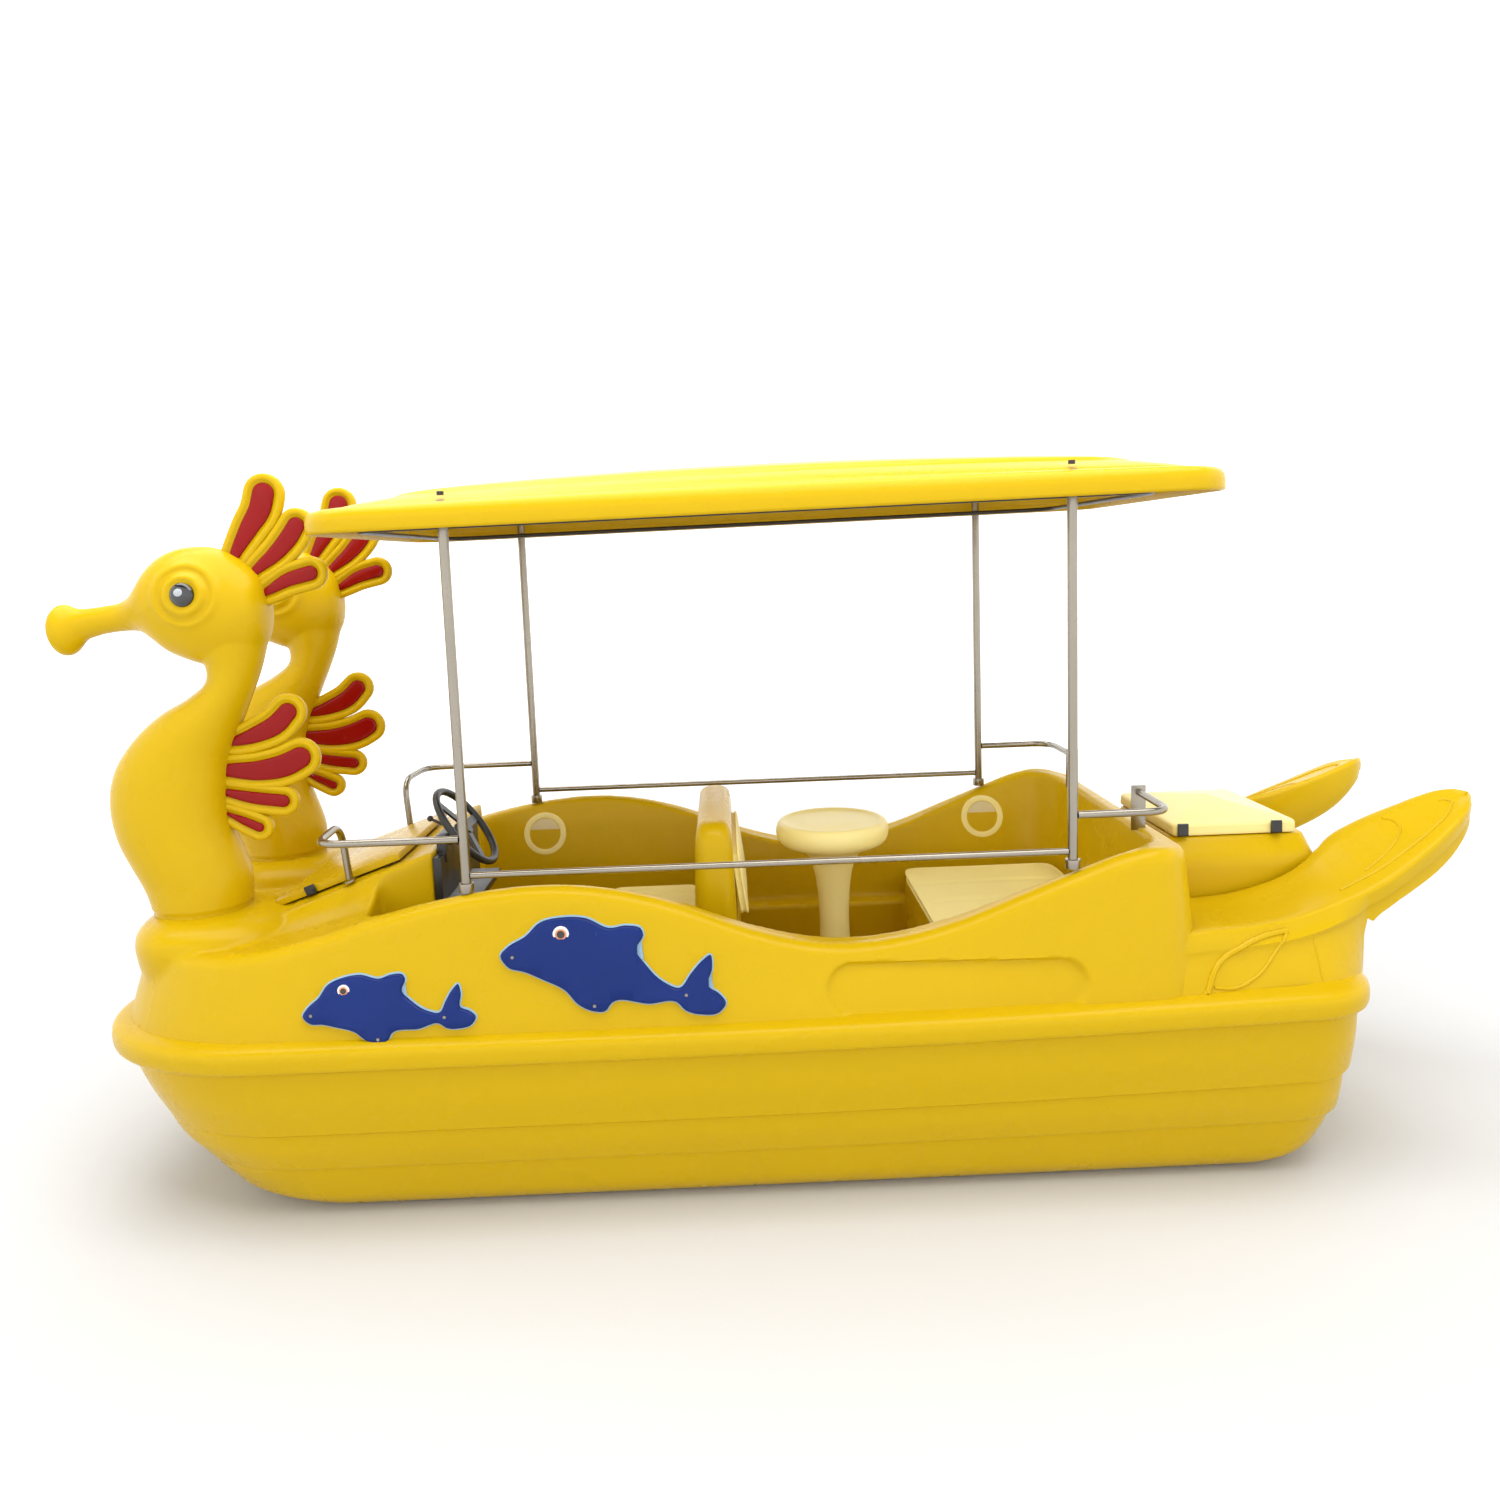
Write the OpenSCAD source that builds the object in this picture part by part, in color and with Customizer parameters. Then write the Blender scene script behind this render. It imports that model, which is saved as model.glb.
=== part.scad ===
// Pedal boat with two seahorse figureheads, a canopy on four posts and a table in the cockpit.
// X runs aft, Y to starboard, Z up from the flat bottom. Each piece is drawn from the point
// midway between the canopy posts, and aft() moves it so that the origin is below the middle
// of the whole boat.

/* [Hull] */
// Half of the hull's width at the sheer
hull_half = 806; // [780:1:820]
// Height of the hull's top edge
sheer = 599; // [590:1:610]
// Thickness of the skids under the bottom, which lift the boat off the ground
skid_t = 10; // [6:1:15]
// Thickness of the moulded shells
wall = 8; // [6:1:10]
// Height of the cockpit floor
floor_z = 380; // [370:1:390]
// Half of the tunnel's width
tunnel_half = 230; // [215:1:240]
// Height of the tunnel's crown
tunnel_top = 300; // [285:1:305]

/* [Deck] */
// Half of the width between the gunwale crests
gunwale_half = 672; // [664:1:680]
// Half of the cockpit's width above the side ledges
cockpit_half = 560; // [545:1:570]
// Half of the cockpit's width at the floor
well_half = 505; // [490:1:515]
// Front end of the cockpit
cockpit_front = -1340; // [-1350:1:-1330]
// Back end of the cockpit
cockpit_back = 1290; // [1280:1:1300]
// Place of the console's aft face
console_x = -1165; // [-1170:1:-1160]
// Height of the console's aft edge
console_z = 1133; // [1120:1:1140]

/* [Canopy] */
// Half of the canopy's length
roof_half_x = 1436; // [1400:1:1450]
// Half of the canopy's width
roof_half_y = 744; // [730:1:760]
// Height of the canopy's lower edge at the middle
roof_z = 2245; // [2235:1:2255]
// Angle that the canopy rises towards the stern
roof_tilt = 0.8; // [0:0.1:1.2]
// Half of the distance between front and rear posts
post_x = 984; // [970:1:1000]
// Half of the distance between port and starboard posts
post_y = 660; // [656:1:664]
// Radius of the posts
post_r = 16; // [14:0.5:18]
// Radius of the hand rails
rail_r = 12.5; // [11:0.5:14]

/* [Figureheads] */
// Distance of each seahorse from the centre plane
horse_y = 358; // [350:1:365]
// Half thickness of the fins
fin_t = 17; // [14:1:20]

/* [Steering] */
// Radius of the steering wheel at its rim's centre
wheel_r = 153; // [140:1:158]
// Angle of the steering axis above level
wheel_rake = 36; // [30:1:40]

/* [Drive] */
// Throw of the pedal crank
throw = 115; // [100:1:118]
// Height of the crank's axle
crank_z = 600; // [590:1:610]
// Radius of the propeller
prop_r = 112; // [100:1:116]

/* [Hidden] */
$fn = 48;
crank_x = -950;         // crank axle's place along the boat
box_mid = 50;           // the boat's middle lies this far aft of the middle between the posts
running = 0.05;         // radial clearance of a running fit
gap = 1;                // clearance between fixed pieces
yellow = "gold";
cream = "moccasin";
steel = "silver";
black = "#222222";

module aft() translate([-box_mid, 0, skid_t]) children();
module both_sides() for (s = [-1, 1]) scale([1, s, 1]) children();

// How far the hull's lines rise towards the stern, at x and height z
function rise(x, z) = x > -500 ? 45 * pow((x + 500) / 2600, 2) * min(1, z / 300) : 0;

// Height of the gunwale's crest along the boat
gunwale_line = [[-2060, 880], [-1860, 884], [-1660, 903], [-1470, 945], [-1270, 1003],
  [-1070, 1050], [-880, 1078], [-750, 1085], [-630, 1080], [-490, 1058], [-300, 1004],
  [-110, 926], [90, 868], [220, 851], [420, 866], [610, 913], [810, 989], [1010, 1065],
  [1140, 1112], [1240, 1136], [1300, 1132]];
function crest(x) = lookup(x, gunwale_line);

// ---- general shapes ----

// Closed skin through rings that all have the same number of points
module skin(rings) {
  n = len(rings[0]);
  m = len(rings);
  side = [for (j = [0:m - 2]) for (i = [0:n - 1]) let (a = j * n + i, b = j * n + (i + 1) % n)
    each [[a, b + n, b], [a, a + n, b + n]]];
  first = [for (i = [0:n - 1]) i];
  last = [for (i = [n - 1:-1:0]) (m - 1) * n + i];
  polyhedron([for (r = rings) each r], concat([first, last], side));
}

// Quarter of an ellipse about c, in four steps
function quarter(cx, cy, ax, ay, from) =
  [for (i = [0:5]) let (a = from + i * 18) [cx + ax * cos(a), cy + ay * sin(a)]];

// Plan of the boat between a bow and a stern x, with long round bow quarters
function plan(bow, stern, half, quarter_x = 620, quarter_y = 470, stern_r = 230) = concat(
  quarter(stern - stern_r, half - stern_r, stern_r, stern_r, 0),
  quarter(bow + quarter_x, half - quarter_y, quarter_x, quarter_y, 90),
  quarter(bow + quarter_x, quarter_y - half, quarter_x, quarter_y, 180),
  quarter(stern - stern_r, stern_r - half, stern_r, stern_r, 270));
function level(z, bow, stern, half) =
  [for (p = plan(bow, stern, half)) [p[0], p[1], z + rise(p[0], z)]];

// Ring of n points in the plane across direction d, round point c, with radii a and b
function across(c, d, a, b, n = 14) = let (t = atan2(d[1], d[0]))
  [for (i = [0:n - 1]) let (w = 360 * i / n)
    [c[0] - a * cos(w) * sin(t), b * sin(w), c[1] + a * cos(w) * cos(t)]];

// Tube of n flat sides along points, whose corners are rounded over a distance d each way
function unit(v) = v / norm(v);
function rounded(points, d) = concat([points[0]],
  [for (i = [1:len(points) - 2])
    let (back = unit(points[i - 1] - points[i]), on = unit(points[i + 1] - points[i]))
    for (t = [0:0.25:1]) points[i] + (1 - t) * (1 - t) * d * back + t * t * d * on],
  [points[len(points) - 1]]);
function ring(c, along, r, n) = let (side = unit(cross(along, [1, 1, 1.3])), up = unit(cross(side, along)))
  [for (i = [0:n - 1]) c + r * cos(360 * i / n) * side + r * sin(360 * i / n) * up];
module tube(corners, d, r, n = 12) {
  p = rounded(corners, d);
  last = len(p) - 1;
  skin([for (i = [0:last]) ring(p[i], unit(p[min(i + 1, last)] - p[max(i - 1, 0)]), r, n)]);
}

// Plate in the XZ plane, t thick and centred at y
module upright(y, t) translate([0, y + t / 2, 0]) rotate([90, 0, 0]) linear_extrude(t) children();

// ---- hull ----

// Height, bow x, stern x and half width at each level; the doubled levels are the chines
hull_levels = [[0, -1460, 1640, 655], [30, -1650, 1740, 690], [110, -1880, 1830, 725],
  [178, -1968, 1870, 742], [186, -1985, 1885, 757], [260, -2060, 1910, 768],
  [318, -2110, 1935, 775], [326, -2130, 1950, 790], [430, -2195, 1970, 797],
  [530, -2245, 1978, 803], [600, -2262, 1985, 806]];

module tunnel(grow) {
  r = 120;
  h = tunnel_top + grow;
  w = tunnel_half + grow;
  edge = concat([[-w, -20], [w, -20]], [for (i = [0:5]) [w - r + r * cos(18 * i), h - r + r * sin(18 * i)]],
    [for (i = [0:5]) [-w + r - r * sin(18 * i), h - r + r * cos(18 * i)]]);
  translate([-2400, 0, 0]) rotate([90, 0, 90]) linear_extrude(4800) polygon(edge);
}

module hull_lower() color(yellow) aft() difference() {
  skin([for (l = hull_levels) level(l[0] * sheer / 600, l[1], l[2], l[3] * hull_half / 806)]);
  difference() {
    skin([for (l = hull_levels) level(l[0] * sheer / 600 + (l[0] < 600 ? wall : 30),
      l[1] + wall, l[2] - wall, l[3] * hull_half / 806 - wall)]);
    tunnel(wall);
  }
  tunnel(0);
  translate([crank_x, 0, 200]) cylinder(h = 150, r = 36);
  translate([1780, 0, 250]) cylinder(h = 90, r = 22 + gap);
}

module rub_rail() color(yellow) aft() difference() {
  skin([for (l = [[548, 0], [556, 26], [640, 32], [655, 18]])
    level(l[0], -2266 - l[1], 1990 + l[1], hull_half + 3 + l[1])]);
  skin([for (z = [520, 700]) level(z, -2263 - gap, 1986 + gap, hull_half + gap)]);
}

// ---- deck ----

// One cross-section of a side wall as a thin slice: outer foot, crest roll and inner foot
function deck_half(x) = x > -1620 ? hull_half - 12
  : hull_half - 12 - 470 * (1 - sqrt(max(0, 1 - pow((x + 1620) / 640, 2))));
module wall_slice(x, inset, foot) {
  top = crest(x) - inset * 1.6;
  outer = deck_half(x) - inset;
  inner = cockpit_half + inset;
  y = gunwale_half;
  profile = [[outer, foot], [y + 34 - inset, top - 44], [y + 14, top - 6], [y, top],
    [y - 18, top - 8], [y - 32 + inset, top - 36], [inner, foot]];
  translate([x - 0.5, 0, 0]) rotate([90, 0, 90]) linear_extrude(1) polygon(profile);
}
wall_stops = [-1860, -1660, -1470, -1270, -1070, -880, -690, -490, -300, -110, 90, 220, 420, 610, 810, 1010,
  1140, 1240, 1300];
module side_wall(inset, foot, stops) for (i = [0:len(stops) - 2]) hull() {
  wall_slice(stops[i], inset, foot);
  wall_slice(stops[i + 1], inset, foot);
}

// Flat plan outlines at rising heights, joined into one body: each is z, bow, stern, half width
module stack(levels, quarter_x, quarter_y, stern_r) hull() for (l = levels)
  translate([0, 0, l[0]]) linear_extrude(1) polygon(plan(l[1], l[2], l[3], quarter_x, quarter_y, stern_r));

module foredeck(inset, foot) stack([for (l = [[foot, -2248, 794], [760, -2232, 752], [845, -2205, 700],
  [874, -2150, 655]])
  [l[0] - (l[0] > foot ? inset : 0), l[1] + inset, cockpit_front + 10 - inset, l[2] - inset]],
  600, 440, 5);
module coaming_end(inset, foot) stack([for (l = [[foot, 1446, 792], [1040, 1432, 706], [1098, 1400, 676]])
  [l[0] - (l[0] > foot ? inset : 0), 1180 + inset, l[1] - inset, l[2] - inset]], 10, 10, 190);
module aft_deck(inset, foot) stack([for (l = [[foot, 1966, 786], [690, 1950, 650], [722, 1940, 610]])
  [l[0] - (l[0] > foot ? inset : 0), 1240 + inset, l[1] - inset, l[2] - inset]], 10, 10, 230);
// Mound that a figurehead stands on
module oval(x, y, z, length, r) translate([x, y, z]) linear_extrude(1) scale([length, 1])
  circle(r, $fn = 32);
module mounds(inset) for (y = [-horse_y, horse_y]) hull() {
  oval(-1985, y, 850, 1.2, 214 - inset);
  oval(-1980, y, 951 - inset, 1.1, 164 - inset);
}
// Console: the raised middle of the foredeck, down to the cockpit floor
console_half = 395;
console_line = [[-1792, 590], [-1792, 914], [console_x, console_z], [console_x, floor_z],
  [cockpit_front, floor_z]];
module console(inset) hull() for (y = [inset - console_half, console_half - inset],
    i = [0:len(console_line) - 1]) let (p = console_line[i], in_x = i < 2 ? inset : i < 4 ? -inset : 0,
    down = p[1] > 700 ? inset : inset * 4)
  translate([p[0] + in_x, y - 0.5, p[1] - down]) cube(1);

// The cockpit's hollow, grown by t for the outside of its moulding
module cockpit(t) {
  translate([cockpit_front - t, -well_half - t, floor_z - t])
    cube([cockpit_back - cockpit_front + 2 * t, 2 * (well_half + t), 240 + t]);
  hull() for (z = [600 - t, 1200]) translate([0, 0, z]) linear_extrude(1) polygon(plan(cockpit_front - t,
    cockpit_back + t, cockpit_half + t + (z > 700 ? 78 : 0), 60, 60, 170 + t));
}
// Boxes under the front seats and the rear bench: x from, x to, half width, top
seat_boxes = [[-640, -100, 430, 700], [620, 1296, 512, 715]];
module seat_base(b, inset) translate([b[0] + inset, inset - b[2], floor_z - inset * 3])
  cube([b[1] - b[0] - 2 * inset, 2 * (b[2] - inset), b[3] - floor_z + inset * 2]);

module deck_upper() color(yellow) aft() difference() {
  union() {
    difference() {
      union() {
        both_sides() side_wall(0, 600, wall_stops);
        foredeck(0, 600);
        coaming_end(0, 600);
        aft_deck(0, 600);
        translate([cockpit_front - wall, -well_half - wall, floor_z - wall])
          cube([cockpit_back - cockpit_front + 2 * wall, 2 * (well_half + wall), 240]);
      }
      cockpit(0);
    }
    console(0);
    mounds(0);
    for (b = seat_boxes) seat_base(b, 0);
  }
  difference() {
    union() {
      both_sides() side_wall(wall, 560, [for (x = wall_stops) if (x > -1500 && x < 1200) x]);
      foredeck(wall, 560);
      coaming_end(wall, 560);
      aft_deck(wall, 560);
    }
    cockpit(wall);
  }
  console(wall);
  mounds(wall);
  for (b = seat_boxes) seat_base(b, wall);
  translate([crank_x, 0, 300]) cylinder(h = 150, r = 36);
  on_slope() translate([70, 60 - hatch_half, -40]) cube([hatch_length - 117, 2 * hatch_half - 120, 63]);
}

// ---- figureheads ----

// Middle line of a seahorse and its half widths: x, z, half along the profile, half across
horse_line = [[-1978, 954, 166, 150], [-1990, 1040, 170, 150], [-2022, 1140, 188, 150],
  [-2056, 1250, 196, 148], [-2062, 1350, 192, 142], [-2035, 1450, 182, 132],
  [-1985, 1550, 158, 118], [-1905, 1640, 126, 102], [-1835, 1720, 100, 90],
  [-1795, 1800, 105, 96], [-1800, 1900, 122, 112], [-1810, 1980, 128, 120]];
head_line = [[-1668, 2030, 40, 40], [-1700, 2032, 120, 90], [-1760, 2034, 162, 124],
  [-1850, 2036, 178, 138], [-1940, 2030, 160, 128], [-2010, 2016, 125, 100],
  [-2070, 2002, 86, 76], [-2120, 1994, 56, 54], [-2200, 1986, 47, 46],
  [-2290, 1974, 45, 44], [-2335, 1964, 62, 60], [-2385, 1956, 72, 68], [-2418, 1954, 62, 58]];

module seahorse(inset) {
  foot = inset > 0 ? [[horse_line[0][0], 940, horse_line[0][2], horse_line[0][3]]] : [];
  body = concat(foot, horse_line);
  for (i = [0:len(body) - 2]) hull() skin([for (h = [body[i], body[i + 1]])
    across([h[0], h[1]], [0, 1], h[2] - inset, h[3] - inset)]);
  for (i = [0:len(head_line) - 2]) hull() skin([for (h = [head_line[i], head_line[i + 1]])
    across([h[0] - (i < 1 ? inset : 0), h[1]], [-1, 0], h[2] - inset, h[3] - inset)]);
}
module seahorse_shell() difference() {
  seahorse(0);
  intersection() {
    seahorse(wall);
    translate([-2410, -300, 900]) cube([1000, 600, 1500]);
  }
}
module seahorse_port() color(yellow) aft() translate([0, -horse_y, 0]) seahorse_shell();
module seahorse_starboard() color(yellow) aft() translate([0, horse_y, 0]) seahorse_shell();

// Fin lobes: root x and z, tip x and z, root radius and tip radius
crest_lobes = [[-1745, 2215, -1690, 2410, 38, 54], [-1690, 2160, -1560, 2300, 36, 46],
  [-1655, 2085, -1505, 2140, 34, 44]];
mane_lobes = [[-1795, 1590, -1650, 1670, 36, 44], [-1822, 1500, -1575, 1505, 38, 54],
  [-1845, 1415, -1625, 1360, 34, 38], [-1850, 1330, -1725, 1250, 32, 36]];
module lobe(l, inset) hull() {
  translate([l[0], l[1]]) circle(l[4] - inset, $fn = 24);
  translate([l[2], l[3]]) circle(l[5] - inset, $fn = 24);
}
// Lobes that are cut off where the seahorse's body holds them
module fins(y) difference() {
  upright(y, 2 * fin_t) for (l = concat(crest_lobes, mane_lobes)) lobe(l, 0);
  translate([0, y, 0]) seahorse(0);
}
module fins_port() color(yellow) aft() fins(-horse_y);
module fins_starboard() color(yellow) aft() fins(horse_y);
module fin_inlays() color("firebrick") aft() for (s = [-1, 1]) for (f = [-1, 1])
  upright(s * horse_y + f * (fin_t + 2.6), 3) for (l = concat(crest_lobes, mane_lobes)) hull() {
    translate([l[0] * 0.45 + l[2] * 0.55, l[1] * 0.45 + l[3] * 0.55]) circle(l[4] * 0.45, $fn = 16);
    translate([l[2], l[3]]) circle(l[5] * 0.52, $fn = 16);
  }
module seahorse_eyes() color(black) aft() for (s = [-1, 1]) for (f = [-1, 1])
  translate([-1952, s * horse_y + f * 136, 2045]) rotate([90, 0, 0]) cylinder(h = 14, r = 40, center = true);

// ---- canopy ----

module canopy_place() translate([0, 0, roof_z]) rotate([0, -roof_tilt, 0]) children();
function roof_ring(z, inset) = [for (p = concat(
    quarter(roof_half_x - 230, roof_half_y - 230, 230 - inset, 230 - inset, 0),
    quarter(230 - roof_half_x, roof_half_y - 230, 230 - inset, 230 - inset, 90),
    quarter(230 - roof_half_x, 230 - roof_half_y, 230 - inset, 230 - inset, 180),
    quarter(roof_half_x - 230, 230 - roof_half_y, 230 - inset, 230 - inset, 270))) [p[0], p[1], z]];
// Height of the roof's skin and distance in from its edge
roof_steps = [[0, 0], [62, 6], [78, 30], [104, 90], [128, 160], [146, 225]];
module roof_skin(down) skin(concat(
  [for (s = roof_steps) roof_ring(s[0] - down, s[1] + down * 0.8)],
  [[for (p = roof_ring(158 - down, 200)) [p[0] * 0.86, p[1] * 0.5, p[2]]]]));
// The bolts that hold the roof to the posts pass through its skin here
module over_posts() for (x = [-post_x, post_x], y = [-post_y, post_y]) translate([x, y, 73]) children();
module canopy_roof() color(yellow) aft() canopy_place() difference() {
  roof_skin(0);
  roof_skin(5);
  over_posts() cylinder(h = 90, r = 11.3);
}

frame_x = 1290;
frame_y = 620;
frame_bend = 120;
module canopy_frame() color(steel) aft() canopy_place() translate([0, 0, 8]) {
  r = 8;
  for (s = [-1, 1]) {
    translate([0, s * frame_y, 0]) rotate([0, 90, 0])
      cylinder(h = 2 * (frame_x - frame_bend), r = r, center = true);
    translate([s * frame_x, 0, 0]) rotate([90, 0, 0])
      cylinder(h = 2 * (frame_y - frame_bend), r = r, center = true);
  }
  for (a = [0:90:270]) translate([a == 0 || a == 270 ? frame_x - frame_bend : frame_bend - frame_x,
    a < 180 ? frame_y - frame_bend : frame_bend - frame_y, 0])
    rotate([0, 0, a]) rotate_extrude(angle = 90) translate([frame_bend, 0]) circle(r);
}
clip_xs = [-430, 330, 1120];
module canopy_fixings() color(black) aft() canopy_place() {
  for (s = [-1, 1], x = clip_xs) translate([x - 10, s * (frame_y + 22) - 12, 4]) cube([20, 24, 12]);
  over_posts() translate([0, 0, 30]) cylinder(h = 12, r = 11);
}

// ---- posts and rails ----

// Feet stand on the gunwale; tops reach up inside the canopy
function post_foot(x) = crest(x + 24) + 2;
module post(x, y) {
  foot = post_foot(x) + 6;
  top = roof_z + x * sin(roof_tilt) + 88;
  translate([x, y, foot]) cylinder(h = top - foot, r = post_r);
}
module post_front_port() color(steel) aft() post(-post_x, -post_y);
module post_front_starboard() color(steel) aft() post(-post_x, post_y);
module post_rear_port() color(steel) aft() post(post_x, -post_y);
module post_rear_starboard() color(steel) aft() post(post_x, post_y);

side_rail_z = 1122;
hand_rail_z = 1242;
module side_rails() color(steel) aft() for (s = [-1, 1]) translate([0, s * post_y, side_rail_z])
  rotate([0, 90, 0]) cylinder(h = 2 * (post_x - post_r - 0.2), r = 11, center = true);
module bow_rails() color(steel) aft() both_sides() tube([[-post_x - post_r - 0.2, 660, hand_rail_z],
  [-1460, 660, hand_rail_z], [-1478, 380, hand_rail_z], [-1462, 372, 1046]], 75, rail_r);
module stern_rails() color(steel) aft() both_sides() tube([[post_x + post_r + 0.2, 660, hand_rail_z],
  [1305, 660, hand_rail_z], [1312, 372, hand_rail_z]], 75, rail_r);
module rail_fittings() color(steel) aft() {
  for (x = [-post_x, post_x], y = [-post_y, post_y]) translate([x, y, post_foot(x)])
    difference() {
      cylinder(h = 30, r = 24);
      translate([0, 0, 5]) cylinder(h = 40, r = post_r + 0.2);
    }
  for (s = [-1, 1]) {
    translate([-1462, s * 370, 1033]) rotate([0, -19.2, 0]) cylinder(h = 6, r = 22);
    translate([1285, s * 366 - 3, 1106]) cube([50, 6, 160]);
  }
}

// ---- dolphins ----

dolphin_outline = [[-118, -6], [-112, 4], [-84, 12], [-66, 32], [-40, 46], [-8, 50], [22, 44], [30, 50],
  [46, 48], [42, 36], [58, 20], [84, -2], [96, 4], [108, 24], [116, 26], [114, 6], [110, -10],
  [122, -22], [124, -38], [104, -34], [84, -24], [56, -24], [22, -32], [10, -44], [-6, -40],
  [-14, -28], [-44, -26], [-76, -26], [-108, -20]];
// Middle x, z, size, tilt and lean of the two dolphins on each side
dolphins = [[-520, 838, 2.85, -12, 11.4], [-1230, 745, 2.05, -4, 12.6]];
side_clear = 11;
module on_side(d, s) translate([d[0], s * (794 - (d[1] - 600) * tan(d[4]) + side_clear), d[1]])
  rotate([s * d[4], 0, 0]) rotate([0, -d[3], 0]) children();
module dolphin_pair(s) for (d = dolphins) on_side(d, s)
  upright(0, 10) scale(d[2]) polygon(dolphin_outline);
module dolphins_port() color("royalblue") aft() dolphin_pair(-1);
module dolphins_starboard() color("royalblue") aft() dolphin_pair(1);
module dolphin_eyes() color("white") aft() for (s = [-1, 1], d = dolphins) on_side(d, s)
  translate([-58 * d[2], s * 8, 26 * d[2]]) rotate([90, 0, 0]) cylinder(h = 4, r = 8 * d[2], center = true);
module dolphin_screws() color(steel) aft() for (s = [-1, 1], d = dolphins, p = [[-104, -6], [104, -14]])
  on_side(d, s) translate([p[0] * d[2], s * 7.5, p[1] * d[2]]) rotate([90, 0, 0])
    cylinder(h = 3, r = 6, center = true);

// ---- steering ----

wheel_at = [-1068, -280, 1195];
// Turns +Z onto the steering axis, which points aft and up at the driver
module steering_axis() translate(wheel_at) rotate([0, 90 - wheel_rake, 0]) children();
module console_panel() color(black) aft() difference() {
  union() {
    translate([-1163, -392, 880]) cube([28, 560, 232]);
    translate([-1163, -335, 1080]) cube([34, 110, 96]);
    translate([-1136, -380, 925]) cube([110, 420, 24]);
  }
  steering_axis() translate([0, 0, -200]) cylinder(h = 180, r = 18 + gap);
}
module steering_column() color(black) aft() steering_axis() difference() {
  union() {
    translate([0, 0, -112]) cylinder(h = 82, r = 18);
    translate([0, 0, -112]) cylinder(h = 14, r = 18);
  }
  translate([0, 0, -98]) cylinder(h = 80, r = 10 + running);
}
module steering_wheel() color(black) aft() steering_axis() {
  rotate_extrude() translate([wheel_r, 0]) circle(13);
  translate([0, 0, -28]) cylinder(h = 34, r = 30);
  translate([0, 0, -90]) cylinder(h = 64, r = 10);
  for (a = [90, 210, 330]) rotate([0, 0, a]) translate([22, -15, -6]) cube([wheel_r - 26, 30, 8]);
}
module on_lever() rotate([0, 0, 168]) translate([22, 0, 9]) rotate([0, 118, 0]) children();
module drive_lever() color(black) aft() steering_axis() translate([0, 0, -57]) {
  difference() {
    union() {
      cylinder(h = 18, r = 26);
      on_lever() cylinder(h = 90, r = 5);
    }
    translate([0, 0, -1]) cylinder(h = 20, r = 18 + running);
  }
  on_lever() translate([0, 0, 90]) sphere(11);
}

// ---- seats and table ----

module front_backrest() color(yellow) aft() hull() {
  for (y = [-385, 385]) {
    translate([-236, y, 704]) cylinder(h = 2, r = 30);
    translate([-136, y, 704]) cylinder(h = 2, r = 30);
    translate([-226, y * 0.86, 1150]) sphere(36, $fn = 20);
    translate([-184, y * 0.86, 1150]) sphere(36, $fn = 20);
  }
}
module pad(size) hull() {
  translate([8, 8, 0]) cube([size[0] - 16, size[1] - 16, size[2]]);
  translate([0, 0, 8]) cube([size[0], size[1], size[2] - 16]);
}
module front_cushions() color(cream) aft() {
  for (y = [-420, 20]) translate([-636, y, 701]) pad([360, 400, 46]);
  translate([-92, -330, 830]) rotate([0, -7, 0]) pad([22, 660, 250]);
}
module rear_cushion() color(cream) aft() translate([606, -480, 716]) pad([649, 960, 46]);
table_at = [263, 0];
module table_pedestal() color(cream) aft() translate(table_at) translate([0, 0, floor_z + 0.5])
  rotate_extrude() polygon(concat([[0, 0], [118, 0], [118, 14]],
    [for (t = [0:0.1:1])
      [56 + 50 * pow(1 - min(1, t * 2), 2) + 100 * pow(max(0, 2 * t - 1), 2.4), 20 + 600 * t]],
    [[0, 620]]));
module table_top() color(cream) aft() translate(table_at) translate([0, 0, floor_z + 622])
  rotate_extrude() polygon(concat([[0, 0], [168, 0], [196, 18]],
    [for (i = [0:8]) [186 + 30 * cos(i * 22.5 - 60), 58 + 30 * sin(i * 22.5 - 60)]],
    [[150, 96], [0, 98]]));

// ---- covers in the cockpit's sides ----

module on_liner(x, s) translate([x, s * 611, 935]) rotate([90 - s * 10.5, 0, 0]) children();
module inspection_rings() color(cream) aft() for (x = [-946, 986], s = [-1, 1]) on_liner(x, s)
  difference() {
    cylinder(h = 12, r = 93, center = true);
    cylinder(h = 14, r = 66 + gap, center = true);
  }
module inspection_lids() color("tan") aft() for (x = [-946, 986], s = [-1, 1]) on_liner(x, s)
  cylinder(h = 9, r = 66, center = true);

// ---- bow hatch ----

slope = 19.2;
hatch_front = [-1765, 0, 924];
module on_slope() translate(hatch_front) rotate([0, -slope, 0]) children();
hatch_length = 470;
hatch_half = 330;
hatch_y = hatch_half + 8;
module bow_hatch() color(yellow) aft() on_slope() {
  difference() {
    translate([30, -hatch_half, 8]) cube([hatch_length, 2 * hatch_half, 22]);
    translate([44, -hatch_half + 14, 7]) cube([hatch_length - 28, 2 * hatch_half - 28, 15]);
  }
  for (x = [90, 370]) translate([x, hatch_y, 12]) rotate([0, 90, 0]) cylinder(h = 70, r = 8.8);
}
module bow_latch() color(black) aft() on_slope() translate([150, -hatch_half - 14, 10]) {
  cube([36, 10, 30]);
  translate([4, -6, 2]) cube([28, 7, 10]);
  translate([0, 5, 0]) rotate([0, 90, 0]) cylinder(h = 36, r = 5);
}

// ---- stern locker ----

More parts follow.
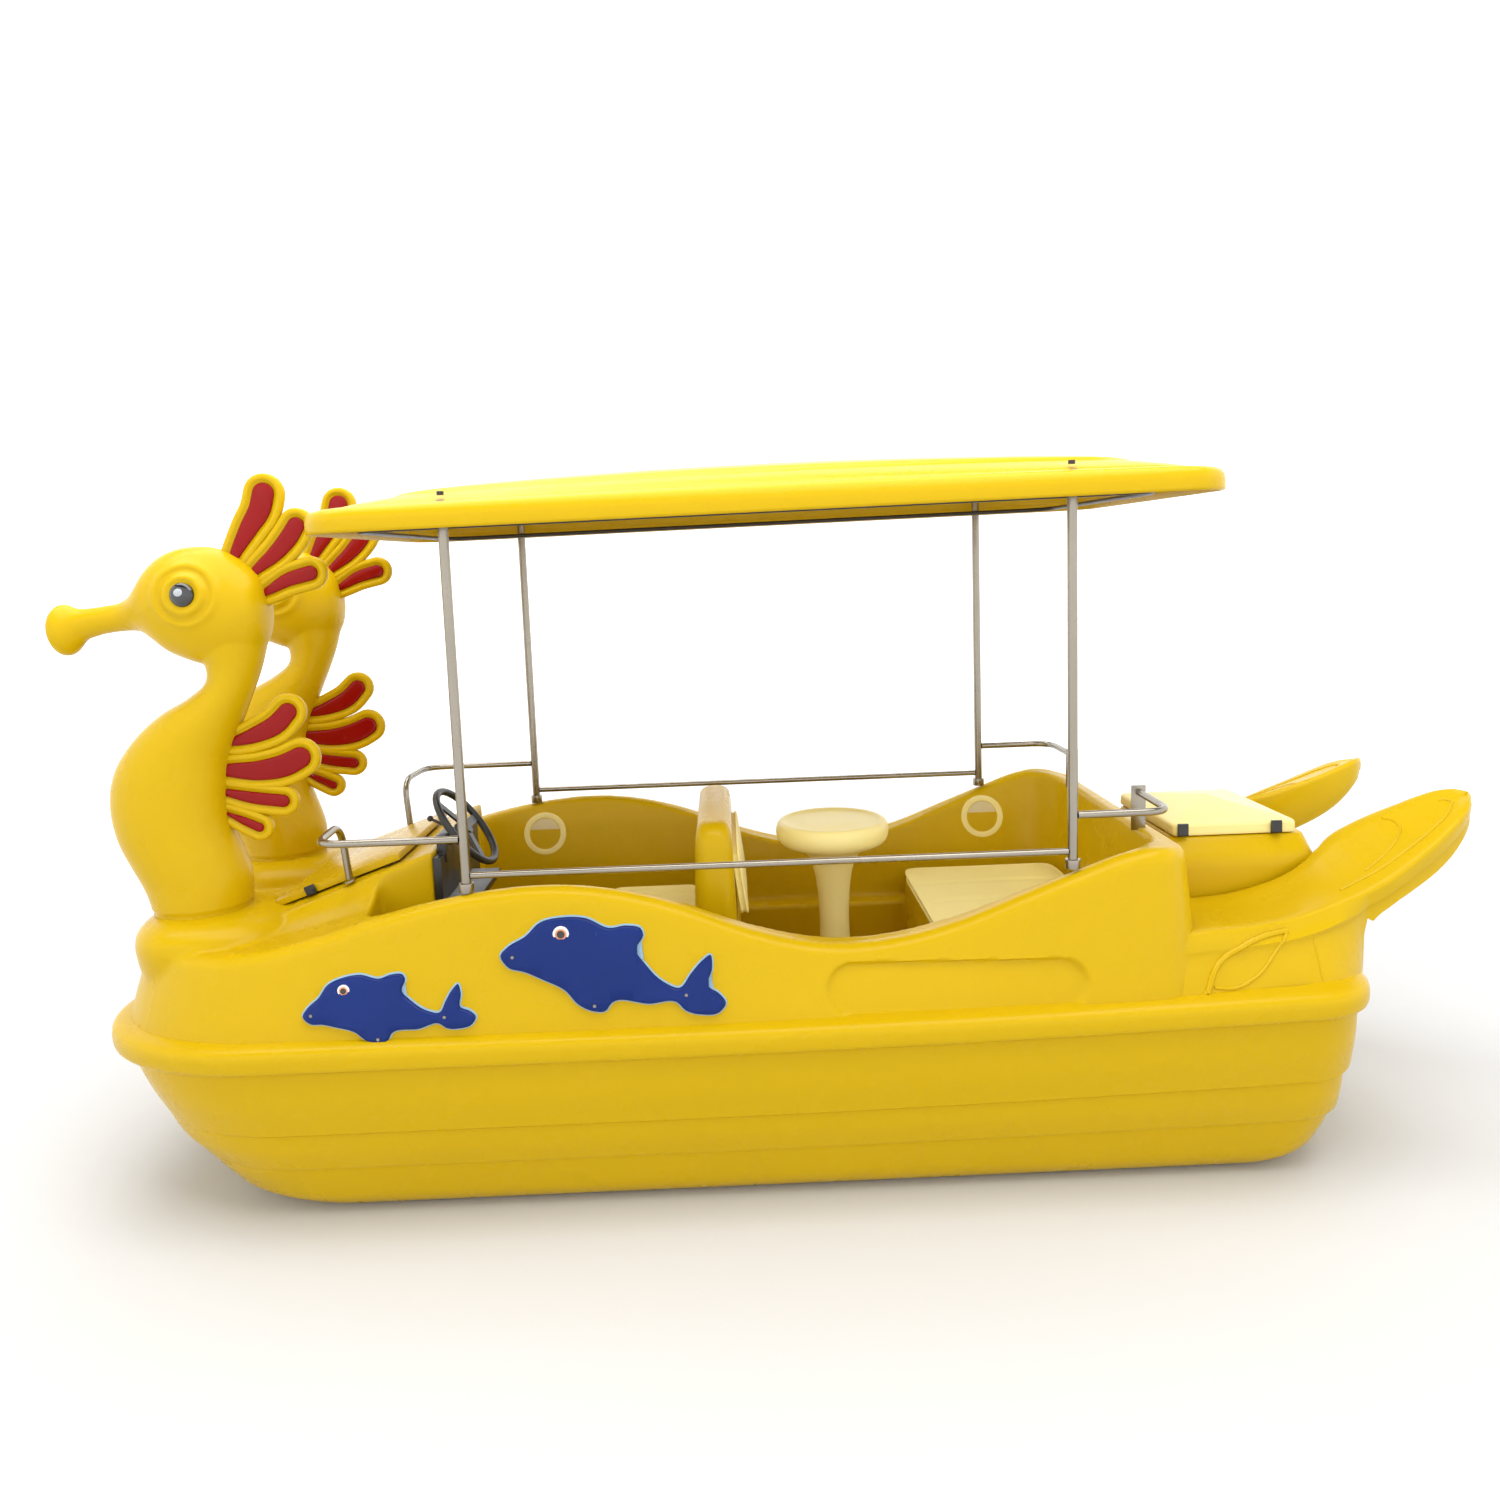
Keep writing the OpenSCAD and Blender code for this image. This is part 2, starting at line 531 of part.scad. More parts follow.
locker = [1456, 330, 736, 1046];
module stern_locker() color(yellow) aft() difference() {
  hull() {
    translate([locker[0], -locker[1], locker[2]]) cube([524, 2 * locker[1], 250]);
    translate([locker[0] + 12, -locker[1] + 30, locker[3] - 12]) cube([495, 2 * locker[1] - 60, 12]);
  }
  translate([locker[0] + 12, -locker[1] + 12, locker[2] + 10]) cube([500, 2 * locker[1] - 24, 230]);
  translate([1530, -225, 900]) cube([350, 450, 200]);
}
lid_z = 1050;
module locker_lid() color(cream) aft() difference() {
  hull() {
    translate([1475, -272, lid_z]) cube([450, 544, 44]);
    translate([1670, -20, lid_z + 58]) cube([60, 40, 4]);
  }
  translate([1490, -257, lid_z - 1]) cube([420, 514, 34]);
}
module latch() {
  translate([-18, -288, lid_z + 4]) cube([36, 12, 44]);
  translate([0, -282, lid_z + 8]) rotate([0, 90, 0]) cylinder(h = 36, r = 7, center = true);
}
module locker_latch_fore() color(black) aft() translate([1505, 0, 0]) latch();
module locker_latch_aft() color(black) aft() translate([1845, 0, 0]) latch();
module locker_hinge() color(black) aft() for (x = [1530, 1830]) translate([x, 292, lid_z + 4])
  rotate([0, 90, 0]) cylinder(h = 70, r = 7, center = true);

// ---- tails ----

// Stations of a tail: x, outer edge y and z, inner edge y and z
tail_stations = [[1452, 640, 740, 350, 800], [1560, 632, 792, 350, 826], [1700, 615, 826, 350, 872],
  [1850, 585, 880, 350, 925], [1985, 545, 925, 350, 985], [2065, 524, 952, 252, 1030],
  [2150, 505, 985, 228, 1120], [2300, 470, 1055, 232, 1172], [2395, 430, 1110, 255, 1192],
  [2460, 390, 1150, 300, 1190], [2503, 362, 1150, 340, 1160]];
tail_edge_r = 12;
tail_raised = 4;         // from this station aft the tail stands clear of the deck and is thicker
tail_tip = len(tail_stations) - 1;
module tail(r) for (i = [0:tail_tip - 1]) hull() for (k = [i, i + 1])
  let (t = tail_stations[k], drop = i > tail_raised ? 96 : 60, e = tail_edge_r) {
    translate([t[0], t[1], t[2] - e]) sphere(r, $fn = 8);
    translate([t[0] + (k == tail_tip ? 4 : 0), t[1] - 4, t[2] - drop]) sphere(r, $fn = 8);
    translate([t[0], t[3] + e, t[4] - e]) sphere(r, $fn = 8);
    translate([t[0], t[3] + e + 4, t[4] - drop]) sphere(r, $fn = 8);
  }
// Pillar that carries the tail on the aft deck
module tail_pillar(inset, foot) hull() {
  translate([1440 + inset, 345 + inset, foot]) cube([560 - 2 * inset, 250 - 2 * inset, 3]);
  translate([1500 + inset, 360 + inset, 780]) cube([560 - 2 * inset, 235 - 2 * inset, 10 - inset]);
  translate([1900 + inset, 360 + inset, 850]) cube([180 - 2 * inset, 200 - 2 * inset, 10 - inset]);
}
module whole_tail() difference() {
  union() {
    tail(tail_edge_r);
    tail_pillar(0, 728);
  }
  tail(tail_edge_r - wall);
  tail_pillar(wall, 700);
  coaming_end(-2, 599);
  aft_deck(-2, 599);
}
module tail_port() color(yellow) aft() scale([1, -1, 1]) whole_tail();
module tail_starboard() color(yellow) aft() whole_tail();

// ---- drive ----

// Sideways place of each pedal and the side of the axle that its throw is on
pedals = [[-410, 1], [-280, -1], [280, 1], [410, -1]];
axle_r = 10;
spindle_r = 8;
web_half = 62;
module at_crank() translate([crank_x, 0, crank_z]) children();
module across_y(y0, y1, r) translate([0, y0, 0]) rotate([-90, 0, 0]) cylinder(h = y1 - y0, r = r);
module web(y, z0, z1) translate([0, y, 0]) hull() for (z = [z0, z1])
  translate([0, 0, z]) rotate([90, 0, 0]) cylinder(h = 8, r = 14, center = true);
module crankshaft() color(steel) aft() at_crank() {
  across_y(-500, -472, axle_r);
  across_y(-218, 218, axle_r);
  across_y(472, 500, axle_r);
  for (p = pedals) translate([0, 0, p[1] * throw]) across_y(p[0] - web_half, p[0] + web_half, spindle_r);
  web(-472, 0, throw);
  web(-345, -throw, throw);
  web(-218, -throw, 0);
  web(218, 0, throw);
  web(345, -throw, throw);
  web(472, -throw, 0);
}
module pedal(p) color(black) aft() at_crank() translate([0, p[0], p[1] * throw]) difference() {
  union() {
    translate([-45, -50, -12]) cube([90, 100, 24]);
    across_y(-50, 50, 16);
  }
  across_y(-60, 60, spindle_r + running);
  for (x = [-32, 20]) translate([x, -36, -20]) cube([12, 72, 40]);
}
module pedal_1() pedal(pedals[0]);
module pedal_2() pedal(pedals[1]);
module pedal_3() pedal(pedals[2]);
module pedal_4() pedal(pedals[3]);
module crank_bearings() color(black) aft() for (s = [-1, 1]) translate([crank_x, s * 490, 0]) difference() {
  union() {
    translate([-30, -11, floor_z + gap]) cube([60, 22, crank_z - floor_z]);
    translate([0, 0, crank_z]) rotate([90, 0, 0]) cylinder(h = 22, r = 30, center = true);
  }
  translate([0, 0, crank_z]) rotate([90, 0, 0]) cylinder(h = 40, r = axle_r + running, center = true);
}
shaft_z = 165;
shaft_r = 12.5;
module along_x(x0, x1, r) translate([x0, 0, shaft_z]) rotate([0, 90, 0]) cylinder(h = x1 - x0, r = r);
module gearbox() color(black) aft() difference() {
  union() {
    translate([crank_x - 70, -60, crank_z - 80]) cube([140, 120, 150]);
    translate([crank_x, 0, shaft_z]) cylinder(h = 400, r = 34);
    along_x(crank_x - 55, crank_x + 60, 42);
  }
  at_crank() across_y(-100, 100, axle_r + running);
  along_x(crank_x - 30, crank_x + 90, shaft_r + running);
}
module propeller_shaft() color(steel) aft() along_x(crank_x - 28, 1520, shaft_r);
module shaft_hangers() color(steel) aft() for (x = [180, 1290]) difference() {
  union() {
    along_x(x, x + 60, 26);
    translate([x + 10, -5, shaft_z]) cube([40, 10, tunnel_top - shaft_z - 6]);
    translate([x - 5, -30, tunnel_top - 8]) cube([70, 60, 7]);
  }
  along_x(x - 10, x + 70, shaft_r + running);
}
module propeller() color(black) aft() difference() {
  union() {
    along_x(1430, 1500, 30);
    for (a = [0:120:240]) translate([1465, 0, shaft_z]) rotate([a, 0, 0]) rotate([0, 0, 32])
      translate([0, -4, 20]) intersection() {
        translate([-36, 0, 0]) cube([72, 8, prop_r - 20]);
        translate([0, -10, 46]) rotate([-90, 0, 0]) cylinder(h = 40, r = 47);
      }
  }
  along_x(1400, 1530, shaft_r + 0.02);
}

// ---- rudder ----

rudder_x = 1780;
module rudder() color(black) aft() {
  difference() {
    translate([rudder_x, 0, 0]) {
      translate([0, 0, 60]) cylinder(h = 470, r = 12.5);
      translate([-60, -7, 45]) cube([210, 14, 225]);
    }
  }
  translate([rudder_x, 0, 500]) cylinder(h = 26, r = 24);
  translate([rudder_x - 10, 0, 506]) cube([20, 150, 14]);
}
module rudder_tube() color(steel) aft() difference() {
  union() {
    translate([rudder_x, 0, 276]) cylinder(h = 200, r = 22);
    translate([rudder_x, 0, tunnel_top + wall + gap]) cylinder(h = 8, r = 45);
  }
  translate([rudder_x, 0, 250]) cylinder(h = 250, r = 12.5 + running);
}
cable_route = [[-1240, -280, 1040], [-1300, -290, 900], [-1600, -300, 640], [-1600, -330, 450],
  [-1500, -600, 440], [-1200, -640, 450], [0, -640, 450], [1300, -630, 460], [1500, -500, 485],
  [1600, -250, 510], [1630, 100, 513]];
module steering_cable() color(black) aft() tube(cable_route, 50, 6, 8);

// ---- underwater fittings ----

module keel_skids() color(black) aft() for (y = [-440, 440]) translate([-1200, y - 30, -skid_t])
  cube([2500, 60, skid_t - 0.5]);
module drain_plugs() color(black) aft() for (y = [-480, 480]) translate([1975, y, 480])
  rotate([0, 90, 0]) cylinder(h = 14, r = 18);
module buoyancy_foam() color("white") aft() for (s = [-1, 1]) translate([-1100, s * 420 - 140, 60])
  cube([2300, 280, 260]);

hull_lower();
deck_upper();
rub_rail();
seahorse_port();
seahorse_starboard();
fins_port();
fins_starboard();
fin_inlays();
seahorse_eyes();
canopy_roof();
canopy_frame();
canopy_fixings();
post_front_port();
post_front_starboard();
post_rear_port();
post_rear_starboard();
side_rails();
bow_rails();
stern_rails();
rail_fittings();
dolphins_port();
dolphins_starboard();
dolphin_eyes();
dolphin_screws();
console_panel();
steering_column();
steering_wheel();
drive_lever();
front_backrest();
front_cushions();
rear_cushion();
table_top();
table_pedestal();
inspection_rings();
inspection_lids();
bow_hatch();
bow_latch();
stern_locker();
locker_lid();
locker_latch_fore();
locker_latch_aft();
locker_hinge();
tail_port();
tail_starboard();
crankshaft();
pedal_1();
pedal_2();
pedal_3();
pedal_4();
crank_bearings();
gearbox();
propeller_shaft();
shaft_hangers();
propeller();
rudder();
rudder_tube();
steering_cable();
keel_skids();
drain_plugs();
buoyancy_foam();
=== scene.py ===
"""Looks of the pedal boat: yellow moulded hull, two seahorses, canopy, rails, seats and table.

Lengths are metres. Shapes are drawn in the design frame, whose origin lies midway between the canopy
posts at the foot of the hull, and piece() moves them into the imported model's frame.
"""
import math

import bpy
import bmesh
import numpy as np
from mathutils import Matrix, Vector
from mathutils.bvhtree import BVHTree


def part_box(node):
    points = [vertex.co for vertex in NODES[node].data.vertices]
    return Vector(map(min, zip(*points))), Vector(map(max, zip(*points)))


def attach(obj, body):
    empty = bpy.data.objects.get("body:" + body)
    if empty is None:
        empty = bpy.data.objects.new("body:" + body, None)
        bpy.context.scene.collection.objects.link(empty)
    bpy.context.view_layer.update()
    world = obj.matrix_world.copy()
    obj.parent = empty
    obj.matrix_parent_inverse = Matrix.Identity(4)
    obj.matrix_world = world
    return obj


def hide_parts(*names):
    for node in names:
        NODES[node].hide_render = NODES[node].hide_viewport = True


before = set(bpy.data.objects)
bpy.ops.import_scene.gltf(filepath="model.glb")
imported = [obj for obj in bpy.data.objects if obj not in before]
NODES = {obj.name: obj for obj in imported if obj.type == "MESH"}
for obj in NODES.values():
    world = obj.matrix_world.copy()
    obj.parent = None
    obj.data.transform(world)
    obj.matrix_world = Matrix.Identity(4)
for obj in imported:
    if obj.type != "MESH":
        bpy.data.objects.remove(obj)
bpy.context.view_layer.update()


def middle(node):
    low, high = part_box(node)
    return (low + high) / 2


POST_FORE = middle("post_front_port")
POST_AFT = middle("post_rear_port")
OFFSET = np.array([(POST_FORE.x + POST_AFT.x) / 2, 0.0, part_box("hull_lower")[0].z])
POST_X = (POST_AFT.x - POST_FORE.x) / 2
POST_Y = abs(POST_FORE.y)
HORSE_Y = abs(middle("seahorse_port").y)

# ---- curves and tables


def hermite(knots, values, at):
    """Smooth curve through values at knots, read at `at`."""
    knots, values, at = np.asarray(knots, float), np.asarray(values, float), np.asarray(at, float)
    slopes = np.gradient(values, knots, axis=0)
    i = np.clip(np.searchsorted(knots, at) - 1, 0, len(knots) - 2)
    h = knots[i + 1] - knots[i]
    t = np.clip((at - knots[i]) / h, 0, 1)
    if values.ndim > 1:
        h, t = h[..., None], t[..., None]
    a, b = values[i], values[i + 1]
    p, q = slopes[i] * h, slopes[i + 1] * h
    t2, t3 = t * t, t * t * t
    return (2 * t3 - 3 * t2 + 1) * a + (t3 - 2 * t2 + t) * p + (3 * t2 - 2 * t3) * b + (t3 - t2) * q


def distances(points):
    """Distance along a polyline to each of its points."""
    return np.concatenate([[0], np.cumsum(np.linalg.norm(np.diff(points, axis=0), axis=1))])


def spline(points, n):
    """n points along a smooth curve through `points`."""
    points = np.asarray(points, float)
    along = distances(points)
    return hermite(along, points, np.linspace(0, along[-1], n))


def lookup(table):
    """Function that runs smoothly through the rows x, value of a table."""
    rows = np.asarray(table, float)
    return lambda x: hermite(rows[:, 0], rows[:, 1], x)


def step(x, low, high):
    t = np.clip((np.asarray(x, float) - low) / (high - low), 0, 1)
    return t * t * (3 - 2 * t)


def arc(cx, cy, ax, ay, start, end, n):
    a = np.radians(np.linspace(start, end, n))
    return np.stack([cx + ax * np.cos(a), cy + ay * np.sin(a)], 1)


def around(n):
    """n angles evenly round a circle."""
    return np.linspace(0, 2 * np.pi, n, endpoint=False)


def plan(bow, stern, half, quarter_x=.62, quarter_y=.47, stern_r=.23):
    """Plan outline of the boat, from the middle of the stern round the starboard side and back."""
    side = np.stack([np.linspace(stern - stern_r, bow + quarter_x, 64)[1:-1], np.full(62, half)], 1)
    right = np.concatenate([
        [[stern, half * .02], [stern, (half - stern_r) * .5]],
        arc(stern - stern_r, half - stern_r, stern_r, stern_r, 0, 90, 14), side,
        arc(bow + quarter_x, half - quarter_y, quarter_x, quarter_y, 90, 180, 28),
        [[bow, (half - quarter_y) * .5], [bow, half * .02]]])
    left = right[::-1] * [1, -1]
    return np.concatenate([right, left])


def outward(outline):
    """Unit normals of a closed outline that turns anticlockwise."""
    d = np.roll(outline, -1, 0) - np.roll(outline, 1, 0)
    n = np.stack([d[:, 1], -d[:, 0]], 1)
    return n / np.maximum(np.linalg.norm(n, axis=1, keepdims=True), 1e-9)


def at_height(outline, z):
    """Outline lifted to one height, or to one height per point."""
    column = np.asarray(z, float).reshape(-1, 1)
    return np.concatenate([outline, np.broadcast_to(column, (len(outline), 1))], 1)


def disc_outline(radius, n=96):
    return arc(0, 0, radius, radius, 0, 360, n + 1)[:-1]


# ---- meshes


def new_object(name, data):
    ob = bpy.data.objects.new(name, data)
    bpy.context.scene.collection.objects.link(ob)
    return ob


def mesh_object(name, verts, faces):
    mesh = bpy.data.meshes.new(name)
    mesh.from_pydata([tuple(v) for v in verts], [], [tuple(f) for f in faces])
    mesh.validate()
    ob = new_object(name, mesh)
    b = bmesh.new()
    b.from_mesh(mesh)
    bmesh.ops.recalc_face_normals(b, faces=b.faces)
    b.to_mesh(mesh)
    b.free()
    return ob


def loft(rings, name="loft", wrap=False):
    """Closed skin through rings of equal length; with wrap, the last ring joins the first."""
    rings = np.asarray(rings, float)
    m, n = rings.shape[:2]
    faces = []
    for j in range(m if wrap else m - 1):
        k = (j + 1) % m
        faces += [(j * n + i, j * n + (i + 1) % n, k * n + (i + 1) % n, k * n + i) for i in range(n)]
    if not wrap:
        faces += [tuple(range(n))[::-1], tuple(range((m - 1) * n, m * n))]
    return mesh_object(name, rings.reshape(-1, 3), faces)


def box(x0, x1, y0, y1, z0, z1):
    ring = [(x0, y0), (x1, y0), (x1, y1), (x0, y1)]
    return loft([[(x, y, z) for x, y in ring] for z in (z0, z1)], "box")


def tube(points, r, sides):
    """Round bar along points, with flat ends."""
    p = np.asarray(points, float)
    d = np.gradient(p, axis=0)
    d /= np.linalg.norm(d, axis=1, keepdims=True)
    side = np.cross(d[0], [.3, .2, 1.0])
    rings = []
    for at, along in zip(p, d):
        side = side - along * side.dot(along)
        side /= np.linalg.norm(side)
        up = np.cross(along, side)
        a = around(sides)[:, None]
        rings.append(at + r * (np.cos(a) * side + np.sin(a) * up))
    return loft(rings, "tube")


SMALLEST_RADIUS = 1e-4


def lathe(profile, at, sides=72):
    """Solid of revolution about a vertical axis through `at`; profile rows are radius, z."""
    a = around(sides)
    rings = []
    for r, z in profile:
        r = max(r, SMALLEST_RADIUS)
        rings.append(np.stack([at[0] + r * np.cos(a), at[1] + r * np.sin(a), np.full(sides, z)], 1))
    return loft(rings, "lathe")


def applied(ob):
    """Turns the object's modifiers into mesh."""
    bpy.context.view_layer.update()
    graph = bpy.context.evaluated_depsgraph_get()
    mesh = bpy.data.meshes.new_from_object(ob.evaluated_get(graph))
    ob.modifiers.clear()
    ob.data = mesh
    return ob


def combine(ob, others, operation):
    for other in others:
        m = ob.modifiers.new("b", "BOOLEAN")
        m.operation, m.object, m.solver = operation, other, "MANIFOLD"
        applied(ob)
        bpy.data.objects.remove(other)
    return ob


def joined(parts):
    """One object made of several, which keep their own shells."""
    target = parts[0]
    b = bmesh.new()
    for p in parts:
        b.from_mesh(p.data)
    b.to_mesh(target.data)
    b.free()
    for p in parts[1:]:
        bpy.data.objects.remove(p)
    return target


def remesh(ob, voxel, rounds):
    """One even skin, smoothed for a number of rounds."""
    m = ob.modifiers.new("r", "REMESH")
    m.mode, m.voxel_size = "VOXEL", voxel
    s = ob.modifiers.new("s", "SMOOTH")
    s.iterations, s.factor = rounds, .5
    return applied(ob)


def per_vertex(ob, key):
    values = np.empty(len(ob.data.vertices) * 3)
    ob.data.vertices.foreach_get(key, values)
    return values.reshape(-1, 3)


def coords(ob):
    return per_vertex(ob, "co")


def set_coords(ob, co):
    ob.data.vertices.foreach_set("co", np.ascontiguousarray(co, float).ravel())
    ob.data.update()


def mirrored(ob):
    """Copy of an object on the other side of the boat."""
    twin = new_object("twin", ob.data.copy())
    twin.data.transform(Matrix.Scale(-1, 4, (0, 1, 0)))
    twin.data.flip_normals()
    return twin


# ---- materials


def set_inputs(node, values):
    for name, value in values.items():
        node.inputs[name].default_value = value


def new_material(name):
    """A material, its node tree and its main shader."""
    mat = bpy.data.materials.new(name)
    mat.use_nodes = True
    return mat, mat.node_tree, mat.node_tree.nodes["Principled BSDF"]


def noise(tree, scale, detail=3.0):
    place = tree.nodes.new("ShaderNodeTexCoord")
    n = tree.nodes.new("ShaderNodeTexNoise")
    set_inputs(n, {"Scale": scale, "Detail": detail})
    tree.links.new(place.outputs["Object"], n.inputs["Vector"])
    return n.outputs["Fac"]


def ranged(tree, value, low, high):
    r = tree.nodes.new("ShaderNodeMapRange")
    set_inputs(r, {"From Min": .3, "From Max": .7, "To Min": low, "To Max": high})
    tree.links.new(value, r.inputs["Value"])
    return r.outputs["Result"]


def finish(name, color, dark=None, rough=.3, spread=.06, bump=.02, grain=260, cloud=3.0, metal=0.0,
           coat=0.0, sheen=0.0, wave=.0, gloss=.5):
    """Material with a cloudy colour, uneven gloss and a fine grain."""
    mat, tree, shader = new_material(name)
    set_inputs(shader, {"Metallic": metal, "Coat Weight": coat, "Coat Roughness": .08,
                        "Specular IOR Level": gloss, "Sheen Weight": sheen})
    dark = dark or [c * .9 for c in color]
    mix = tree.nodes.new("ShaderNodeMix")
    mix.data_type = "RGBA"
    set_inputs(mix, {"A": (*dark, 1), "B": (*color, 1)})
    tree.links.new(ranged(tree, noise(tree, cloud), 0, 1), mix.inputs["Factor"])
    tree.links.new(mix.outputs["Result"], shader.inputs["Base Color"])
    tree.links.new(ranged(tree, noise(tree, cloud * 4, 5), rough - spread, rough + spread),
                   shader.inputs["Roughness"])
    fine = noise(tree, grain, 2)
    relief = tree.nodes.new("ShaderNodeBump")
    set_inputs(relief, {"Strength": bump, "Distance": .002})
    tree.links.new(fine, relief.inputs["Height"])
    last = relief
    if wave:
        broad = tree.nodes.new("ShaderNodeBump")
        set_inputs(broad, {"Strength": wave, "Distance": .01})
        tree.links.new(noise(tree, 7, 1), broad.inputs["Height"])
        tree.links.new(relief.outputs["Normal"], broad.inputs["Normal"])
        last = broad
    tree.links.new(last.outputs["Normal"], shader.inputs["Normal"])
    return mat


LOOK = {
    "hull_plastic": finish("yellow gelcoat", (.56, .36, .0016), (.55, .353, .0015), rough=.28, spread=.04,
                           wave=.03, bump=.012, cloud=1.3, gloss=.15),
    "inlay": finish("red gelcoat", (.26, .002, .002), (.23, .0015, .0015), rough=.22, bump=.01, gloss=.2),
    "eye": finish("black dome", (.006, .006, .007), rough=.06, spread=.02, coat=1.0, bump=.0),
    # Pale grey for the small domes on the seahorse eyes: a painted highlight, standing for a reflection on
    # the glossy black eye.
    "painted_highlight": finish("grey painted highlight", (.42, .45, .47), rough=.12, spread=.02, coat=1.0, bump=.0),
    "dolphin": finish("royal blue gelcoat", (.003, .020, .15), (.002, .017, .13), rough=.22, bump=.01,
                      gloss=.2),
    "rim": finish("pale edge of the plate", (.26, .42, .55), rough=.3),
    "iris": finish("orange iris", (.74, .28, .12), rough=.25, bump=.0),
    "white_trim": finish("white plastic", (.85, .85, .82), rough=.25),
    "cream_plastic": finish("cream plastic", (.86, .74, .30), (.84, .71, .28), rough=.36, wave=.03,
                            gloss=.35),
    "tan_plastic": finish("tan plastic", (.66, .55, .30), rough=.42),
    "black_plastic": finish("black plastic", (.014, .014, .015), rough=.34, bump=.05),
    "stainless": finish("satin stainless", (.34, .31, .26), (.30, .27, .22), rough=.25, spread=.04, metal=1.0,
                        grain=300, bump=.02, cloud=2.5),
    # Steel darkened to near black: painted shade, the canopy frame tube as it looks in the shadow under the
    # roof.
    "steel_painted_shade": finish("steel with painted shade", (.05, .045, .04), rough=.35, metal=.6, grain=300),
    "wheel_rubber": finish("black grip", (.012, .012, .012), rough=.38, bump=.12, grain=500),
    "cushion": finish("cream coated fabric", (.93, .80, .30), (.91, .77, .28), rough=.55, bump=.22,
                      grain=420, sheen=.1, gloss=.3),
    "foam": finish("white foam", (.85, .85, .82), rough=.8, bump=.3, grain=150),
}


def shade(ob, sharp=35):
    ob.data.shade_smooth()
    ob.data.set_sharp_from_angle(angle=math.radians(sharp))


def piece(ob, name, look, *nodes, body="boat", slot=None, sharp=35):
    """Names, finishes and mounts a finished piece drawn in the design frame."""
    ob.name = name
    ob.data.transform(Matrix.Translation(OFFSET))
    ob.data.materials.clear()
    ob.data.materials.append(LOOK[look])
    for poly in ob.data.polygons:
        poly.material_index = 0
    shade(ob, sharp)
    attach(ob, body)
    if nodes:
        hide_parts(*nodes)
    return ob


# ---- camera, floor and lights


CAMERA_AT = (-.1146, -4.0853, 2.10)
CAMERA_TURN = (.819, 6.493, -2.080)  # degrees: yaw towards the stern, pitch down, roll anticlockwise
SENSOR, LENS = 36, 26.045  # millimetres
CAMERA_SHIFT = (.0041, -.0441)


def add_camera():
    data = bpy.data.cameras.new("camera")
    cam = new_object("camera", data)
    yaw, pitch, roll = map(math.radians, CAMERA_TURN)
    ahead = Vector((math.sin(yaw), math.cos(yaw), 0))
    right = Vector((math.cos(yaw), -math.sin(yaw), 0))
    up = Vector((0, 0, 1))
    view = ahead * math.cos(pitch) - up * math.sin(pitch)
    head = up * math.cos(pitch) + ahead * math.sin(pitch)
    across = right * math.cos(roll) + head * math.sin(roll)
    top = head * math.cos(roll) - right * math.sin(roll)
    pose = Matrix((across, top, -view)).transposed().to_4x4()
    pose.translation = Vector(CAMERA_AT) + Vector(OFFSET)
    cam.matrix_world = pose
    data.sensor_width, data.lens = SENSOR, LENS
    data.shift_x, data.shift_y = CAMERA_SHIFT
    data.clip_end = 200
    bpy.context.scene.camera = cam


def area(name, at, aim, size, power):
    """Rectangular light at a place, aimed at another; size in metres, power in watts."""
    data = bpy.data.lights.new(name, "AREA")
    data.shape, data.size, data.size_y = "RECTANGLE", size[0], size[1]
    data.energy = power
    light = new_object(name, data)
    light.location = at
    light.rotation_euler = (Vector(aim) - Vector(at)).to_track_quat("-Z", "Y").to_euler()


GLOW_FROM, GLOW_FULL = 2.2, 9.0  # metres from the frame's origin
STUDIO_RADIUS, STUDIO_HEIGHT = 30, 26


def glow(name):
    """White that shines more with its distance from the origin."""
    mat, tree, shader = new_material(name)
    set_inputs(shader, {"Base Color": (.64, .64, .64, 1), "Roughness": .8, "Emission Color": (1, 1, 1, 1)})
    coord = tree.nodes.new("ShaderNodeTexCoord")
    length = tree.nodes.new("ShaderNodeVectorMath")
    length.operation = "LENGTH"
    ramp = tree.nodes.new("ShaderNodeMapRange")
    ramp.interpolation_type = "SMOOTHSTEP"
    set_inputs(ramp, {"From Min": GLOW_FROM, "From Max": GLOW_FULL, "To Max": .85})
    tree.links.new(coord.outputs["Object"], length.inputs[0])
    tree.links.new(length.outputs["Value"], ramp.inputs["Value"])
    tree.links.new(ramp.outputs["Result"], shader.inputs["Emission Strength"])
    return mat


def add_studio():
    scene = bpy.context.scene
    scene.view_settings.view_transform = "Standard"
    world = bpy.data.worlds.new("studio")
    world.use_nodes = True
    set_inputs(world.node_tree.nodes["Background"], {"Color": (1, 1, 1, 1), "Strength": .15})
    scene.world = world
    area("overhead", (-.3, -.5, 6.2), (0, 0, .5), (9, 6), 700)
    area("front", (-4.5, -6.0, 4.5), (0, 0, 1.0), (3, 3), 20)
    inside, outside = disc_outline(STUDIO_RADIUS), disc_outline(STUDIO_RADIUS + .2)
    wall = loft([at_height(inside, -1), at_height(inside, STUDIO_HEIGHT), at_height(outside, STUDIO_HEIGHT),
                 at_height(outside, -1)], "backdrop", wrap=True)
    floor = loft([at_height(disc_outline(STUDIO_RADIUS - .1), z) for z in (-.02, 0)], "floor")
    for ob in (wall, floor):
        ob.data.materials.append(glow("white " + ob.name))


# ---- hull

